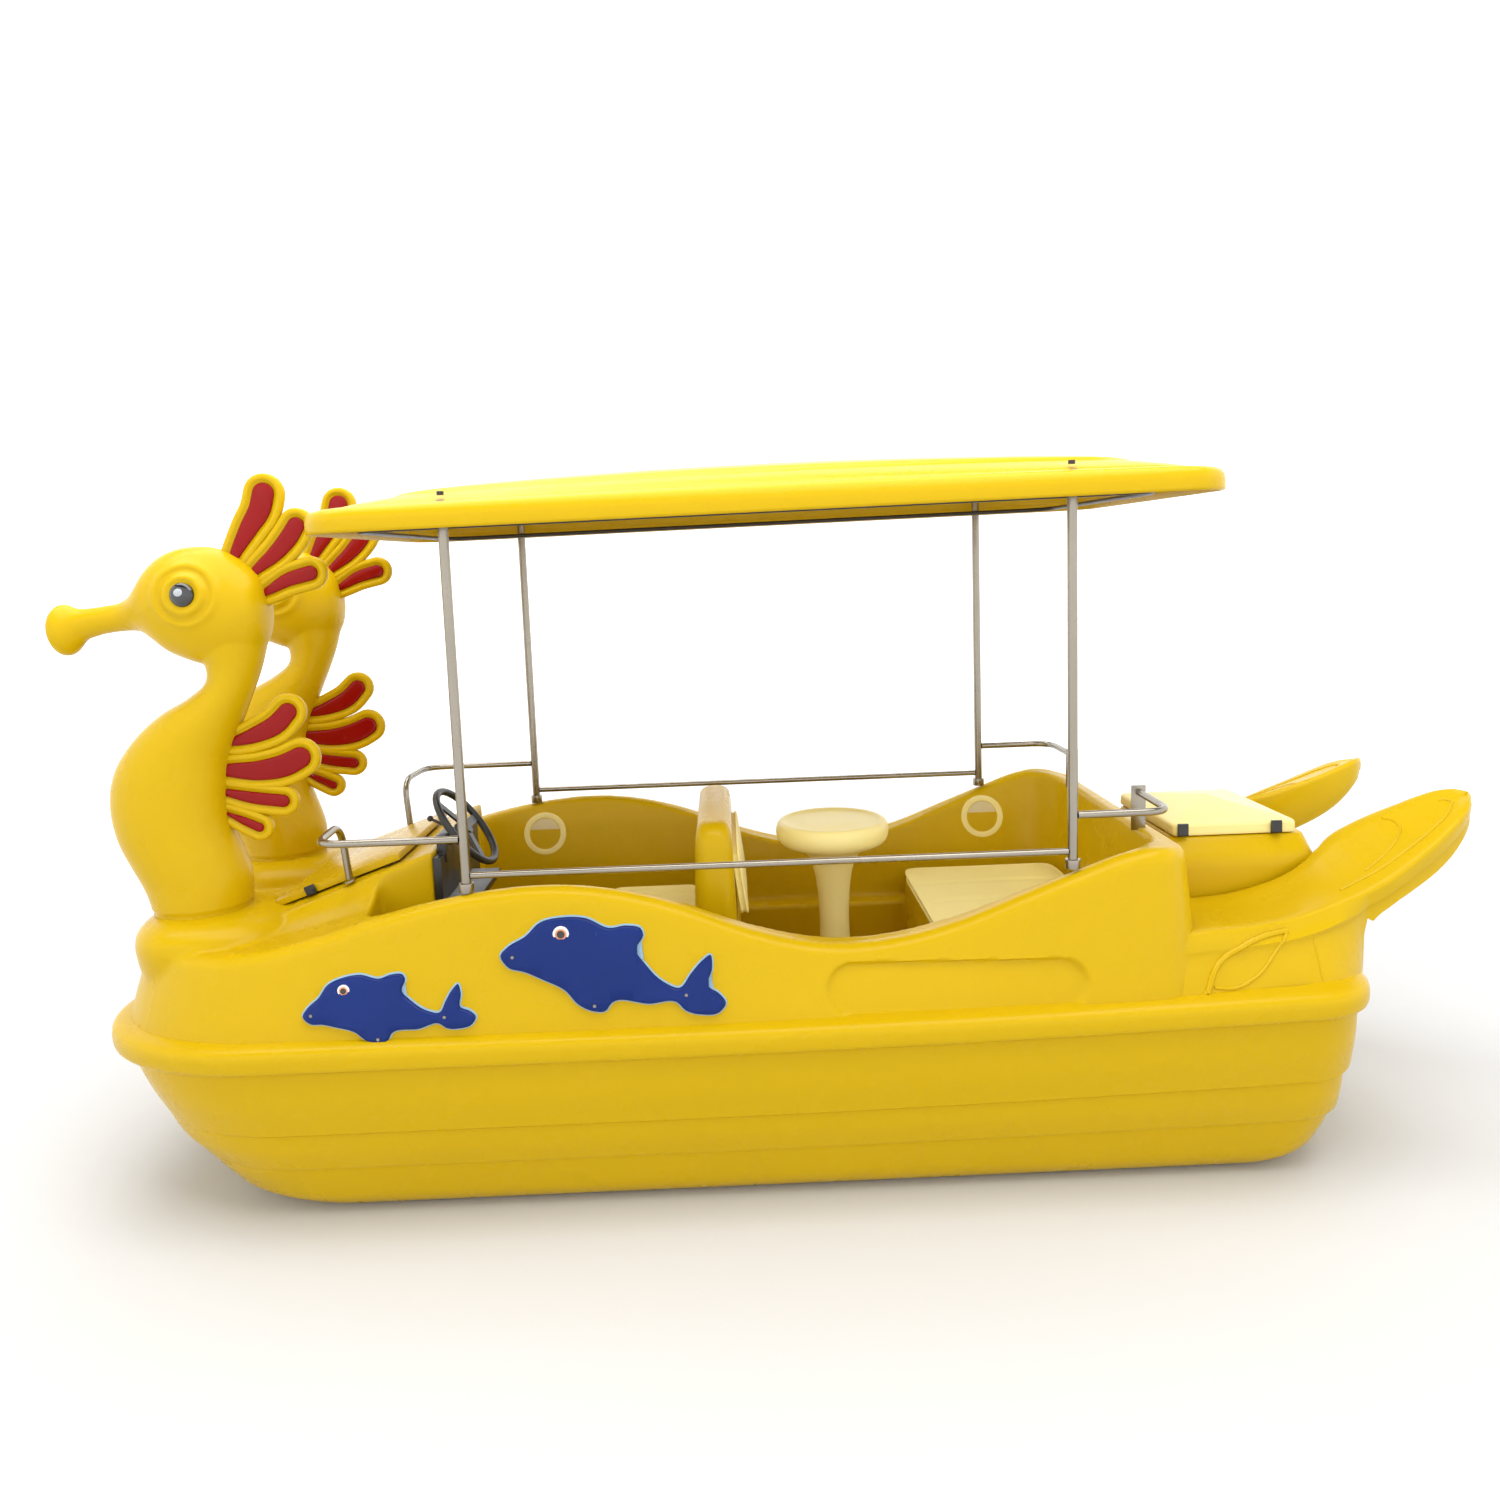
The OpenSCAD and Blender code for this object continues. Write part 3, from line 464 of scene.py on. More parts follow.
LEVELS = [  # z, bow x, stern x, half width, length and width of the bow's rounding
    (0, -1.80, 1.80, .655, .40, .35), (.03, -1.88, 1.86, .69, .43, .37),
    (.11, -1.975, 1.925, .725, .47, .40), (.178, -2.035, 1.945, .742, .50, .42),
    (.26, -2.105, 1.945, .768, .53, .44), (.318, -2.140, 1.946, .775, .55, .45),
    (.43, -2.195, 1.948, .797, .58, .46), (.53, -2.238, 1.950, .803, .61, .47),
    (.60, -2.252, 1.952, .806, .62, .47)]
LAPS = (.180, .320)  # heights of the ledges in the sides
LAP_DEPTH, LAP_STERN_EXTRA = .0105, .010
HULL_WALL = .010


def rise(x, z):
    """How far the hull climbs towards the stern."""
    return np.where(x > -.5, .045 * ((x + .5) / 2.6) ** 2 * np.minimum(1, z / .3), 0)


def hull_ring(z, inset):
    rows = np.asarray(LEVELS)
    bow, stern, half, long, wide = hermite(rows[:, 0], rows[:, 1:], z)
    base = plan(bow, stern, half, long, wide)
    n = outward(base)
    fade = step(base[:, 0], -2.0, -1.55)
    lap = sum((1 - step(z, s - .0012, s + .0012)) for s in LAPS)
    lap += .5 * sum(math.exp(-((z - s + .001) / .003) ** 2) for s in LAPS)
    inward = lap * fade * (LAP_DEPTH + LAP_STERN_EXTRA * np.maximum(n[:, 0], 0)) + inset
    out = base - n * inward[:, None]
    return at_height(out, z + rise(base[:, 0], z))


def tunnel(grow):
    half, top, r = .23 + grow, .30 + grow, .12
    edge = np.concatenate([[(-half, -.05), (half, -.05)], arc(half - r, top - r, r, r, 0, 90, 10),
                           arc(r - half, top - r, r, r, 90, 180, 10)])
    return loft([[(x, y, z) for y, z in edge] for x in (-2.5, 2.5)])


def make_hull():
    heights = np.unique(np.concatenate([
        [0, .004, .012, .022, .035], np.linspace(.05, .6, 30),
        *[(s - .012, s - .004, s - .0013, s, s + .0013, s + .004, s + .012) for s in LAPS]]))
    outer = loft([hull_ring(z, .014 * max(0, 1 - z / .012) ** 2) for z in heights])
    lift = [.04 if z > .59 else HULL_WALL for z in heights[2:]]  # the last ring opens the top
    inner = loft([hull_ring(z, HULL_WALL) + [0, 0, up] for z, up in zip(heights[2:], lift)])
    combine(inner, [tunnel(HULL_WALL)], "DIFFERENCE")
    combine(outer, [inner, tunnel(0)], "DIFFERENCE")
    piece(outer, "hull_shell", "hull_plastic", "hull_lower", sharp=28)


def make_rub_rail():
    profile = [(-.006, .552), (.010, .552), (.018, .554), (.0225, .560), (.0245, .568), (.0255, .580),
               (.0255, .596), (.024, .609), (.0205, .619), (.015, .626), (.008, .631), (-.002, .635),
               (-.012, .638), (-.030, .642), (-.050, .645), (-.050, .60), (-.006, .60)]
    rings = []
    for d, z in profile:
        outline = plan(-2.258 - d, 1.944 + d, .809 + d)
        rings.append(at_height(outline, z + rise(outline[:, 0], z)))
    piece(loft(rings, wrap=True), "rub_strake", "hull_plastic", "rub_rail", sharp=60)


# ---- deck

crest = lookup([(-2.30, .872), (-2.06, .880), (-1.86, .884), (-1.66, .903), (-1.47, .945), (-1.27, 1.003),
                (-1.07, 1.050), (-.88, 1.078), (-.75, 1.085), (-.63, 1.080), (-.49, 1.058), (-.30, 1.004),
                (-.11, .926), (.09, .868), (.22, .851), (.42, .866), (.61, .913), (.81, .989), (1.01, 1.065),
                (1.14, 1.112), (1.24, 1.130), (1.34, 1.118), (1.45, 1.098)])
COCKPIT = (-1.34, 1.29)
SLOPE = math.tan(math.radians(19.2))
RAMP_FOOT = (-1.765, .924)  # x, z where the hatch's slope starts
# x, y and z limits of the blocks that carry the cushions
FRONT_SEAT = (-.64, -.10, -.43, .43, .36, .70)
BENCH = (.62, 1.30, -.512, .512, .36, .715)
RECESS = (.167, .997, .64, .80)  # x and z limits of the long hollow in each side


def smooth_max(a, b, k):
    h = np.clip(.5 + .5 * (a - b) / k, 0, 1)
    return b + (a - b) * h + k * h * (1 - h)


def deck_top(x, y):
    side = crest(x) - .006
    ramp = RAMP_FOOT[1] + (x - RAMP_FOOT[0]) * SLOPE - .75 * np.maximum(0, np.abs(y) - .36)
    ramp = ramp - .9 * np.maximum(0, -1.77 - x) - 6 * np.maximum(0, x + 1.17)
    return smooth_max(side, ramp, .05)


def deck_body():
    foot = plan(-2.240, 1.405, .794, .60, .44, .17)
    top = plan(-2.145, 1.362, .672, .56, .40, .13)
    base = .60 + rise(foot[:, 0], .6)
    rings = [at_height(foot, .57), at_height(foot, base)]
    roll = .60
    for t in (.25, .5, .75, 1):
        p = foot + (top - foot) * roll * t
        high = crest(p[:, 0]) - .046
        rings.append(at_height(p, base + (high - base) * t))
    for a in np.radians((18, 36, 54, 72, 90)):
        p = foot + (top - foot) * (roll + (1 - roll) * (1 - math.cos(a)))
        rings.append(at_height(p, crest(p[:, 0]) - .046 * (1 - math.sin(a))))
    for s in (.97, .93, .88, .82, .75, .66, .58, .5, .42, .33, .25, .16, .08, .02):
        p = top * [1, s]
        rings.append(at_height(p, deck_top(p[:, 0], p[:, 1])))
    return loft(rings)


def cockpit_hollow():
    low = box(COCKPIT[0], COCKPIT[1], -.505, .505, .38, .625)
    rings = []
    for z, grow, out in ((.60, 0, .0), (.80, .02, .0), (.98, .055, .01), (1.06, .078, .012), (1.3, .13, .02)):
        outline = plan(COCKPIT[0] - out, COCKPIT[1] + out, .56 + grow, .10, .10, .19)
        rings.append(at_height(outline, z))
    return low, loft(rings)


def mound(y):
    rings = []
    for z, r in ((.78, .24), (.80, .25), (.87, .262), (.91, .255), (.94, .225), (.957, .190), (.964, .160)):
        a = around(48)
        along = np.where(np.cos(a) < 0, .78, 1.3) * np.cos(a) * r
        rings.append(np.stack([-1.985 + along, y + r * np.sin(a), np.full(48, z)], 1))
    return loft(rings)


def console_block():
    side = [(-1.70, .60), (-1.70, .935), (-1.20, 1.121), (-1.165, 1.133), (-1.165, .38), (-1.34, .38)]
    return loft([[(x, y, z) for x, z in side] for y in (-.395, .395)])


def aft_platform():
    rings = []
    for z, stern, half, r in ((.57, 1.966, .786, .23), (.64, 1.962, .775, .23), (.69, 1.95, .68, .2),
                              (.715, 1.944, .63, .19), (.722, 1.93, .60, .18)):
        outline = plan(1.20, stern, half, .02, .02, r)
        rings.append(at_height(outline, z))
    return loft(rings)


def hatch_well():
    c, s = math.cos(math.atan(SLOPE)), math.sin(math.atan(SLOPE))
    rings = []
    for w in (-.16, .06):
        corners = [(.07, -.27), (.07, .27), (.423, .27), (.423, -.27)]
        rings.append([(RAMP_FOOT[0] + u * c - w * s, y, RAMP_FOOT[1] + u * s + w * c) for u, y in corners])
    return loft(rings)


def make_deck():
    deck = deck_body()
    tub = box(COCKPIT[0] - .035, COCKPIT[1] + .035, -.54, .54, .345, .60)
    combine(deck, [tub, aft_platform()], "UNION")
    combine(deck, cockpit_hollow(), "DIFFERENCE")
    fittings = [console_block(), mound(-HORSE_Y), mound(HORSE_Y),
                box(*FRONT_SEAT), box(*BENCH)]
    combine(deck, fittings, "UNION")
    combine(deck, [hatch_well()], "DIFFERENCE")
    remesh(deck, .0105, 9)
    co = coords(deck)
    x0, x1, z0, z1 = RECESS
    mid, r = (z0 + z1) / 2, (z1 - z0) / 2
    near = np.clip(co[:, 0], x0 + r, x1 - r)
    gap = np.hypot(co[:, 0] - near, co[:, 2] - mid) - r
    side = np.abs(co[:, 1]) > .66
    co[:, 1] -= np.where(side, np.sign(co[:, 1]) * .015 * step(-gap, -.003, .008), 0)
    set_coords(deck, co)
    return piece(deck, "deck_moulding", "hull_plastic", "deck_upper", sharp=50)


# ---- seahorses

BODY = [  # front x, z; back x, z; half width across
    (-2.140, .958, -1.818, .958, .150), (-2.146, .99, -1.814, .99, .149), (-2.165, 1.05, -1.809, 1.06, .148),
    (-2.205, 1.135, -1.829, 1.15, .150), (-2.238, 1.214, -1.856, 1.235, .150),
    (-2.256, 1.336, -1.864, 1.325, .146), (-2.232, 1.457, -1.856, 1.41, .138),
    (-2.169, 1.551, -1.846, 1.478, .128), (-2.066, 1.643, -1.815, 1.560, .116),
    (-1.955, 1.705, -1.778, 1.645, .100), (-1.895, 1.755, -1.741, 1.726, .088),
    (-1.890, 1.800, -1.712, 1.795, .088), (-1.905, 1.850, -1.690, 1.866, .096),
    (-1.94, 1.93, -1.672, 1.95, .105)]
HEAD = [  # x, top z, bottom z, half width across
    (-1.668, 2.03, 1.95, .030), (-1.676, 2.075, 1.90, .062), (-1.695, 2.118, 1.865, .090),
    (-1.739, 2.162, 1.83, .112), (-1.79, 2.194, 1.812, .128), (-1.85, 2.211, 1.808, .137),
    (-1.90, 2.213, 1.814, .139), (-1.95, 2.208, 1.832, .136), (-2.00, 2.190, 1.856, .127),
    (-2.05, 2.152, 1.898, .108), (-2.09, 2.100, 1.928, .084), (-2.126, 2.056, 1.936, .062),
    (-2.165, 2.034, 1.935, .051), (-2.21, 2.026, 1.931, .046), (-2.26, 2.020, 1.922, .044)]
MOUTH = [  # top x, z; bottom x, z; half width across
    (-2.255, 2.021, -2.250, 1.922, .044), (-2.293, 2.018, -2.285, 1.912, .045),
    (-2.322, 2.022, -2.305, 1.895, .052), (-2.345, 2.033, -2.325, 1.873, .066),
    (-2.365, 2.036, -2.345, 1.860, .078), (-2.382, 2.026, -2.365, 1.860, .078),
    (-2.394, 2.006, -2.381, 1.878, .066), (-2.393, 1.988, -2.384, 1.898, .048),
    (-2.372, 1.972, -2.365, 1.918, .030), (-2.330, 1.962, -2.325, 1.930, .016)]
EYE = (-1.889, 2.053)


def ellipse_ring(a, b, half, n=36):
    """Ring between points a and b of the profile, with the given half width across."""
    a, b = np.asarray(a), np.asarray(b)
    w = around(n)[:, None]
    mid, reach = (a + b) / 2, (a - b) / 2
    xz = mid + reach * np.cos(w)
    return np.concatenate([xz[:, :1], half * np.sin(w), xz[:, 1:]], 1)


def make_seahorse(side, node):
    body = loft([ellipse_ring(r[:2], r[2:4], r[4]) for r in spline(BODY, 44)])
    head = loft([ellipse_ring((x, top), (x, low), half) for x, top, low, half in spline(HEAD, 60)])
    mouth = loft([ellipse_ring(r[:2], r[2:4], r[4]) for r in spline(MOUTH, 40)])
    combine(body, [head, mouth], "UNION")
    remesh(body, .0070, 10)
    co = coords(body)
    r = np.hypot(co[:, 0] - EYE[0], co[:, 2] - EYE[1])
    bulge = .010 * np.exp(-((r - .060) / .013) ** 2) + .007 * np.exp(-((r - .100) / .013) ** 2)
    bulge += .003 * np.exp(-(r / .05) ** 2) - .005 * np.exp(-((r - .080) / .010) ** 2)
    facing = step(np.abs(co[:, 1]), .02, .06)
    co[:, 1] += np.sign(co[:, 1]) * bulge * facing
    seam = np.exp(-((co[:, 2] - .972) / .006) ** 2) * .005
    co[:, :2] -= per_vertex(body, "normal")[:, :2] * seam[:, None]
    co[:, 1] += side * HORSE_Y
    set_coords(body, co)
    piece(body, node + "_moulding", "hull_plastic", node, sharp=60)


def dome(at, r, high, side, squash=1.0):
    """Shallow dome standing on the XZ plane, pointing to the given side."""
    rings = []
    for t in np.linspace(0, 1, 9):
        k = math.cos(t * math.pi / 2) * .995 + .005
        a = around(40)
        y = at[1] + side * high * math.sin(t * math.pi / 2)
        up = squash * r * k * np.sin(a)
        rings.append(np.stack([at[0] + r * k * np.cos(a), np.full(40, y), at[2] + up], 1))
    low = rings[0].copy()
    low[:, 1] = at[1] - side * .012
    return loft([low] + rings)


def make_eyes():
    domes, painted_highlights = [], []
    for horse in (-1, 1):
        for side in (-1, 1):
            y = horse * HORSE_Y + side * .1385
            domes.append(dome((EYE[0], y, EYE[1]), .040, .017, side))
            # A small pale grey dome on each eye, above and ahead of its middle: a painted highlight, standing
            # for a reflection.
            painted_highlights.append(dome((EYE[0] - .004, y + side * .0145, EYE[1] + .008), .015, .0045, side, .9))
    piece(joined(domes), "eye_domes", "eye", "seahorse_eyes", sharp=60)
    piece(joined(painted_highlights), "eye_painted_highlights", "painted_highlight", slot="eye")


LOBE_LINES = [  # x, z, half width before widening; from the root to the middle of the round tip
    ((-1.79, 2.13, .036), (-1.75, 2.20, .046), (-1.705, 2.27, .055), (-1.665, 2.33, .060),
     (-1.65, 2.38, .060)),
    ((-1.745, 2.085, .032), (-1.69, 2.13, .042), (-1.62, 2.185, .051), (-1.57, 2.24, .054),
     (-1.55, 2.27, .053)),
    ((-1.73, 2.02, .028), (-1.66, 2.055, .040), (-1.59, 2.09, .048), (-1.515, 2.11, .050)),
    ((-1.90, 1.54, .030), (-1.82, 1.545, .042), (-1.745, 1.565, .052), (-1.67, 1.60, .057),
     (-1.63, 1.64, .055)),
    ((-1.93, 1.45, .036), (-1.85, 1.445, .048), (-1.74, 1.44, .058), (-1.64, 1.46, .062),
     (-1.60, 1.48, .060)),
    ((-1.94, 1.39, .028), (-1.87, 1.37, .038), (-1.77, 1.345, .046), (-1.67, 1.33, .047)),
    ((-1.93, 1.32, .024), (-1.87, 1.295, .032), (-1.81, 1.265, .040), (-1.76, 1.24, .042))]
LOBE_WIDEN = 1.14
LOBES = [[(x, z, w * LOBE_WIDEN) for x, z, w in line] for line in LOBE_LINES]


def lobe_outline(lobe, inset, start=0.0):
    rows = spline(lobe, 18)[int(start * 17):]
    p, w = rows[:, :2], np.maximum(rows[:, 2] - inset, .003)
    d = np.gradient(p, axis=0)
    d /= np.linalg.norm(d, axis=1, keepdims=True)
    n = np.stack([-d[:, 1], d[:, 0]], 1)
    turn = math.atan2(n[-1][1], n[-1][0])
    tip = [p[-1] + w[-1] * np.array([math.cos(turn - a), math.sin(turn - a)])
           for a in np.linspace(0, math.pi, 13)[1:-1]]
    return np.concatenate([p + n * w[:, None], tip, (p - n * w[:, None])[::-1]])


def layered(lobe, layers, start=0.0):
    rings = []
    for inset, y in layers:
        o = lobe_outline(lobe, inset, start)
        rings.append(np.stack([o[:, 0], np.full(len(o), y), o[:, 1]], 1))
    return rings


def make_fins(side, node):
    plates = []
    for k, lobe in enumerate(LOBES):
        t = .0170 - .0006 * (k % 3)
        skin = [(.026, t - .008), (.0225, t - .004), (.019, t - .0005), (.013, t), (.006, t - .0015),
                (.002, t - .005), (0, t - .010)]
        layers = [(i, -y) for i, y in skin] + [(i, y) for i, y in reversed(skin)]
        plates.append(loft(layered(lobe, layers)))
    fins = joined(plates)
    fins.data.transform(Matrix.Translation((0, side * HORSE_Y, 0)))
    piece(fins, node + "_lobes", "hull_plastic", node, sharp=60)


def make_inlays():
    parts = []
    for horse in (-1, 1):
        for face in (-1, 1):
            for lobe in LOBES:
                layers = [(.0320, .006), (.0320, .0120), (.0340, .0142), (.0385, .0158), (.0455, .0166)]
                rings = layered(lobe, layers, .12)
                for ring in rings:
                    ring[:, 1] = horse * HORSE_Y + face * ring[:, 1]
                parts.append(loft(rings))
    piece(joined(parts), "fin_inlay_set", "inlay", "fin_inlays", sharp=60)


# ---- canopy

ROOF_HALF = (1.462, .744)
ROOF_MID = .030
ROOF_Z = 2.245
ROOF_TILT = math.radians(.8)
ROOF_SKIN = [  # distance in from the edge, height above the lip
    (.006, .000), (.001, .003), (.000, .010), (.000, .036), (.003, .054), (.009, .066), (.018, .074),
    (.030, .079), (.046, .082), (.056, .082), (.061, .0775), (.066, .078), (.071, .084), (.085, .090),
    (.12, .101), (.16, .111), (.20, .119), (.212, .121), (.222, .1285), (.232, .133), (.25, .136),
    (.30, .142), (.37, .149), (.45, .155), (.54, .160), (.62, .163), (.70, .164)]


def roof_outline(inset):
    hx, hy = ROOF_HALF[0] - inset, ROOF_HALF[1] - inset
    r = min(.17, hy * .85)
    quarters = [arc(sx * (hx - r) + ROOF_MID, sy * (hy - r), r, r, a, a + 90, 14)
                for sx, sy, a in ((1, 1, 0), (-1, 1, 90), (-1, -1, 180), (1, -1, 270))]
    spread = []
    for k, q in enumerate(quarters):
        nxt = quarters[(k + 1) % 4][0]
        spread += [q, q[-1] + (nxt - q[-1]) * np.linspace(0, 1, 22)[1:-1, None]]
    return np.concatenate(spread)


def roof_ring(inset, z):
    """Ring of the roof, arched along the boat above its edge band."""
    o = roof_outline(inset)
    share = max(0, z - .06) / .104
    arch = share * (.030 - .052 * ((o[:, 0] - ROOF_MID) / 1.44) ** 2)
    return at_height(o, z + arch)


def make_canopy():
    under = [(i + .006, z - .0055) for i, z in ROOF_SKIN if i > .02 or z > .02]
    rings = [roof_ring(i, z) for i, z in reversed(ROOF_SKIN)] + [roof_ring(.007, .003)]
    rings += [roof_ring(i, z) for i, z in under]
    roof = loft(rings)
    tilt = Matrix.Translation((0, 0, ROOF_Z)) @ Matrix.Rotation(-ROOF_TILT, 4, "Y")
    roof.data.transform(tilt)
    piece(roof, "canopy_moulding", "hull_plastic", "canopy_roof", sharp=60)


# ---- rails


def rounded(corners, reach, n=10):
    """Polyline with its corners rounded over a distance each way."""
    c = np.asarray(corners, float)
    out = [c[0]]
    for a, b, d in zip(c[:-2], c[1:-1], c[2:]):
        back, on = (a - b) / np.linalg.norm(a - b), (d - b) / np.linalg.norm(d - b)
        out += [b + (1 - t) ** 2 * reach * back + t * t * reach * on for t in np.linspace(0, 1, n)]
    return np.array(out + [c[-1]])


def make_rails():
    rail_z, post_r, r, bend = 1.242, .016, .0125, .085
    bow, stern = [], []
    for s in (-1, 1):
        y = s * POST_Y
        fore = [(-POST_X - post_r, y, rail_z), (-1.460, y, rail_z), (-1.478, s * .380, rail_z),
                (-1.462, s * .372, 1.046)]
        aft = [(POST_X + post_r, y, rail_z), (1.305, y, rail_z), (1.312, s * .372, rail_z)]
        bow.append(tube(rounded(fore, bend), r, 18))
        stern.append(tube(rounded(aft, bend), r, 18))
    piece(joined(bow), "bow_rail_tubes", "stainless", "bow_rails", sharp=50)
    piece(joined(stern), "stern_rail_tubes", "stainless", "stern_rails", sharp=50)


# ---- dolphins

DOLPHIN = [  # x, z round the large dolphin: nose, back, dorsal fin, tail, belly fin, chin
    (-.870, .885), (-.845, .910), (-.790, .940), (-.745, .980), (-.670, .995), (-.600, .990), (-.520, .955),
    (-.470, .960), (-.420, .945), (-.415, .930), (-.440, .885), (-.410, .835), (-.355, .780), (-.305, .760),
    (-.270, .800), (-.230, .840), (-.205, .855), (-.200, .815), (-.215, .760), (-.180, .735), (-.160, .705),
    (-.180, .680), (-.240, .675), (-.290, .690), (-.315, .715), (-.400, .715), (-.525, .720), (-.540, .700),
    (-.580, .700), (-.630, .725), (-.665, .765), (-.740, .805), (-.795, .830), (-.845, .845)]
DOLPHIN_MARKS = [(-.675, .945), (-.830, .880), (-.575, .720), (-.285, .740)]  # the eye, then the screws
LARGE = dict(nose=(-.870, .885), scale=1.0, turn=0.0)
SMALL = dict(nose=(-1.500, .720), scale=.75, turn=.21)


def placed(points, nose, scale, turn):
    """Points of the large dolphin scaled and turned about its nose, with the nose moved to a new place."""
    spin = np.array([[math.cos(turn), -math.sin(turn)], [math.sin(turn), math.cos(turn)]])
    return np.array(nose) + (np.array(points) - DOLPHIN[0]) @ spin.T * scale


def smooth_loop(points, n):
    """n points along a closed smooth curve through `points`."""
    p = np.asarray(points)
    wrapped = np.concatenate([p[-3:], p, p[:3]])
    along = distances(wrapped)
    return hermite(along, wrapped, np.linspace(along[3], along[-3], n, endpoint=False))


def wall_finder(ob):
    tree = BVHTree.FromObject(ob, bpy.context.evaluated_depsgraph_get())

    def wall(x, z, side):
        start = Vector((x + OFFSET[0], side * 1.2, z + OFFSET[2]))
        hit = tree.ray_cast(start, Vector((0, -side, 0)))[0]
        return abs(hit.y) if hit else .75
    return wall


PLATE_CUTS = .04  # spacing of the cuts that let a plate follow the wall
# inset from the outline, height off the wall
PLATE_EDGE = [(-.004, -.004), (-.004, .002), (.0, .0035)]
PLATE_SKIN = [(.001, -.004), (.0005, .006), (.002, .0105), (.0045, .0135), (.0085, .0155)]


def plate(outline, layers, wall, side):
    """Flat-backed plate on the deck's side: layers are inset and height off the wall."""
    inward = -outward(outline) if area_of(outline) > 0 else outward(outline)
    b = bmesh.new()
    rings = []
    for inset, high in layers:
        ring = outline + inward * inset
        rings.append([b.verts.new((x, high, z)) for x, z in ring])
    n = len(outline)
    for low, top in zip(rings[:-1], rings[1:]):
        for i in range(n):
            b.faces.new((low[i], low[(i + 1) % n], top[(i + 1) % n], top[i]))
    ends = [b.faces.new(rings[0][::-1]), b.faces.new(rings[-1])]
    bmesh.ops.triangulate(b, faces=ends)
    low, high = outline.min(0), outline.max(0)
    for axis, k in (((1, 0, 0), 0), ((0, 0, 1), 1)):
        for v in np.arange(low[k] + PLATE_CUTS / 2, high[k], PLATE_CUTS):
            at = [v if a else 0 for a in axis]
            whole = b.verts[:] + b.edges[:] + b.faces[:]
            bmesh.ops.bisect_plane(b, geom=whole, plane_co=at, plane_no=axis)
    for v in b.verts:
        v.co.y = side * (wall(v.co.x, v.co.z, side) + v.co.y)
    bmesh.ops.recalc_face_normals(b, faces=b.faces)
    mesh = bpy.data.meshes.new("plate")
    b.to_mesh(mesh)
    b.free()
    return new_object("plate", mesh)


def area_of(outline):
    x, y = outline.T
    return .5 * np.sum(x * np.roll(y, -1) - y * np.roll(x, -1))


def disc(wall, x, z, r, side, low, high):
    a = around(32)
    rings = []
    for radius, h in ((r, low), (r, high - .0015), (r * .93, high)):
        y = side * (wall(x, z, side) + h)
        rings.append([(x + radius * math.cos(t), y, z + radius * math.sin(t)) for t in a])
    return loft(rings)


def make_dolphins(deck):
    wall = wall_finder(deck)
    eyes, irises, pupils, screws = [], [], [], []
    for side, node in ((-1, "dolphins_port"), (1, "dolphins_starboard")):
        blue, pale = [], []
        for place in (LARGE, SMALL):
            loop = smooth_loop(placed(DOLPHIN, **place), 150)
            marks = placed(DOLPHIN_MARKS, **place)
            eye_r = .026 * place["scale"]
            pale.append(plate(loop, PLATE_EDGE, wall, side))
            blue.append(plate(loop, PLATE_SKIN, wall, side))
            eyes.append(disc(wall, *marks[0], eye_r, side, .008, .0168))
            irises.append(disc(wall, *marks[0], eye_r * .72, side, .010, .0180))
            pupils.append(disc(wall, *marks[0], eye_r * .50, side, .012, .0192))
            screws += [disc(wall, *at, .0055, side, .010, .0172) for at in marks[1:]]
        piece(joined(blue), node + "_plates", "dolphin", node, sharp=40)
        piece(joined(pale), node + "_edges", "rim", slot="dolphin", sharp=40)
    piece(joined(eyes), "dolphin_eye_rings", "white_trim", "dolphin_eyes", sharp=40)
    piece(joined(irises), "dolphin_irises", "iris", slot="white_trim", sharp=40)
    piece(joined(pupils), "dolphin_pupils", "eye", sharp=40)
    piece(joined(screws), "dolphin_screw_heads", "stainless", "dolphin_screws", sharp=40)


# ---- tails

TAIL = [  # x; outer edge y, z; inner edge y, z; foot y; underside z; share of the edge band
    (1.302, .728, .846, .40, .70, .7905, .60, 0), (1.40, .712, .850, .345, .842, .790, .60, 0),
    (1.52, .694, .849, .345, .850, .789, .60, 0), (1.62, .676, .853, .348, .860, .788, .60, 0),
    (1.72, .656, .861, .350, .882, .786, .60, .0), (1.82, .634, .880, .350, .916, .776, .60, .2),
    (1.90, .618, .901, .345, .960, .722, .60, .7), (1.955, .608, .918, .328, 1.000, .655, .602, 1),
    (1.975, .604, .925, .318, 1.010, .615, .620, 1), (1.990, .601, .930, .308, 1.020, .592, .770, 1),
    (2.03, .594, .945, .288, 1.042, .580, .818, 1), (2.10, .578, .974, .265, 1.068, .564, .862, 1),
    (2.20, .548, 1.025, .250, 1.104, .535, .910, 1), (2.30, .512, 1.078, .245, 1.138, .500, .960, 1),
    (2.38, .474, 1.125, .250, 1.168, .463, 1.012, 1), (2.44, .434, 1.160, .266, 1.188, .426, 1.065, .8),
    (2.475, .398, 1.176, .288, 1.194, .392, 1.098, .5), (2.500, .355, 1.184, .318, 1.190, .352, 1.132, .2)]
BAND = .062


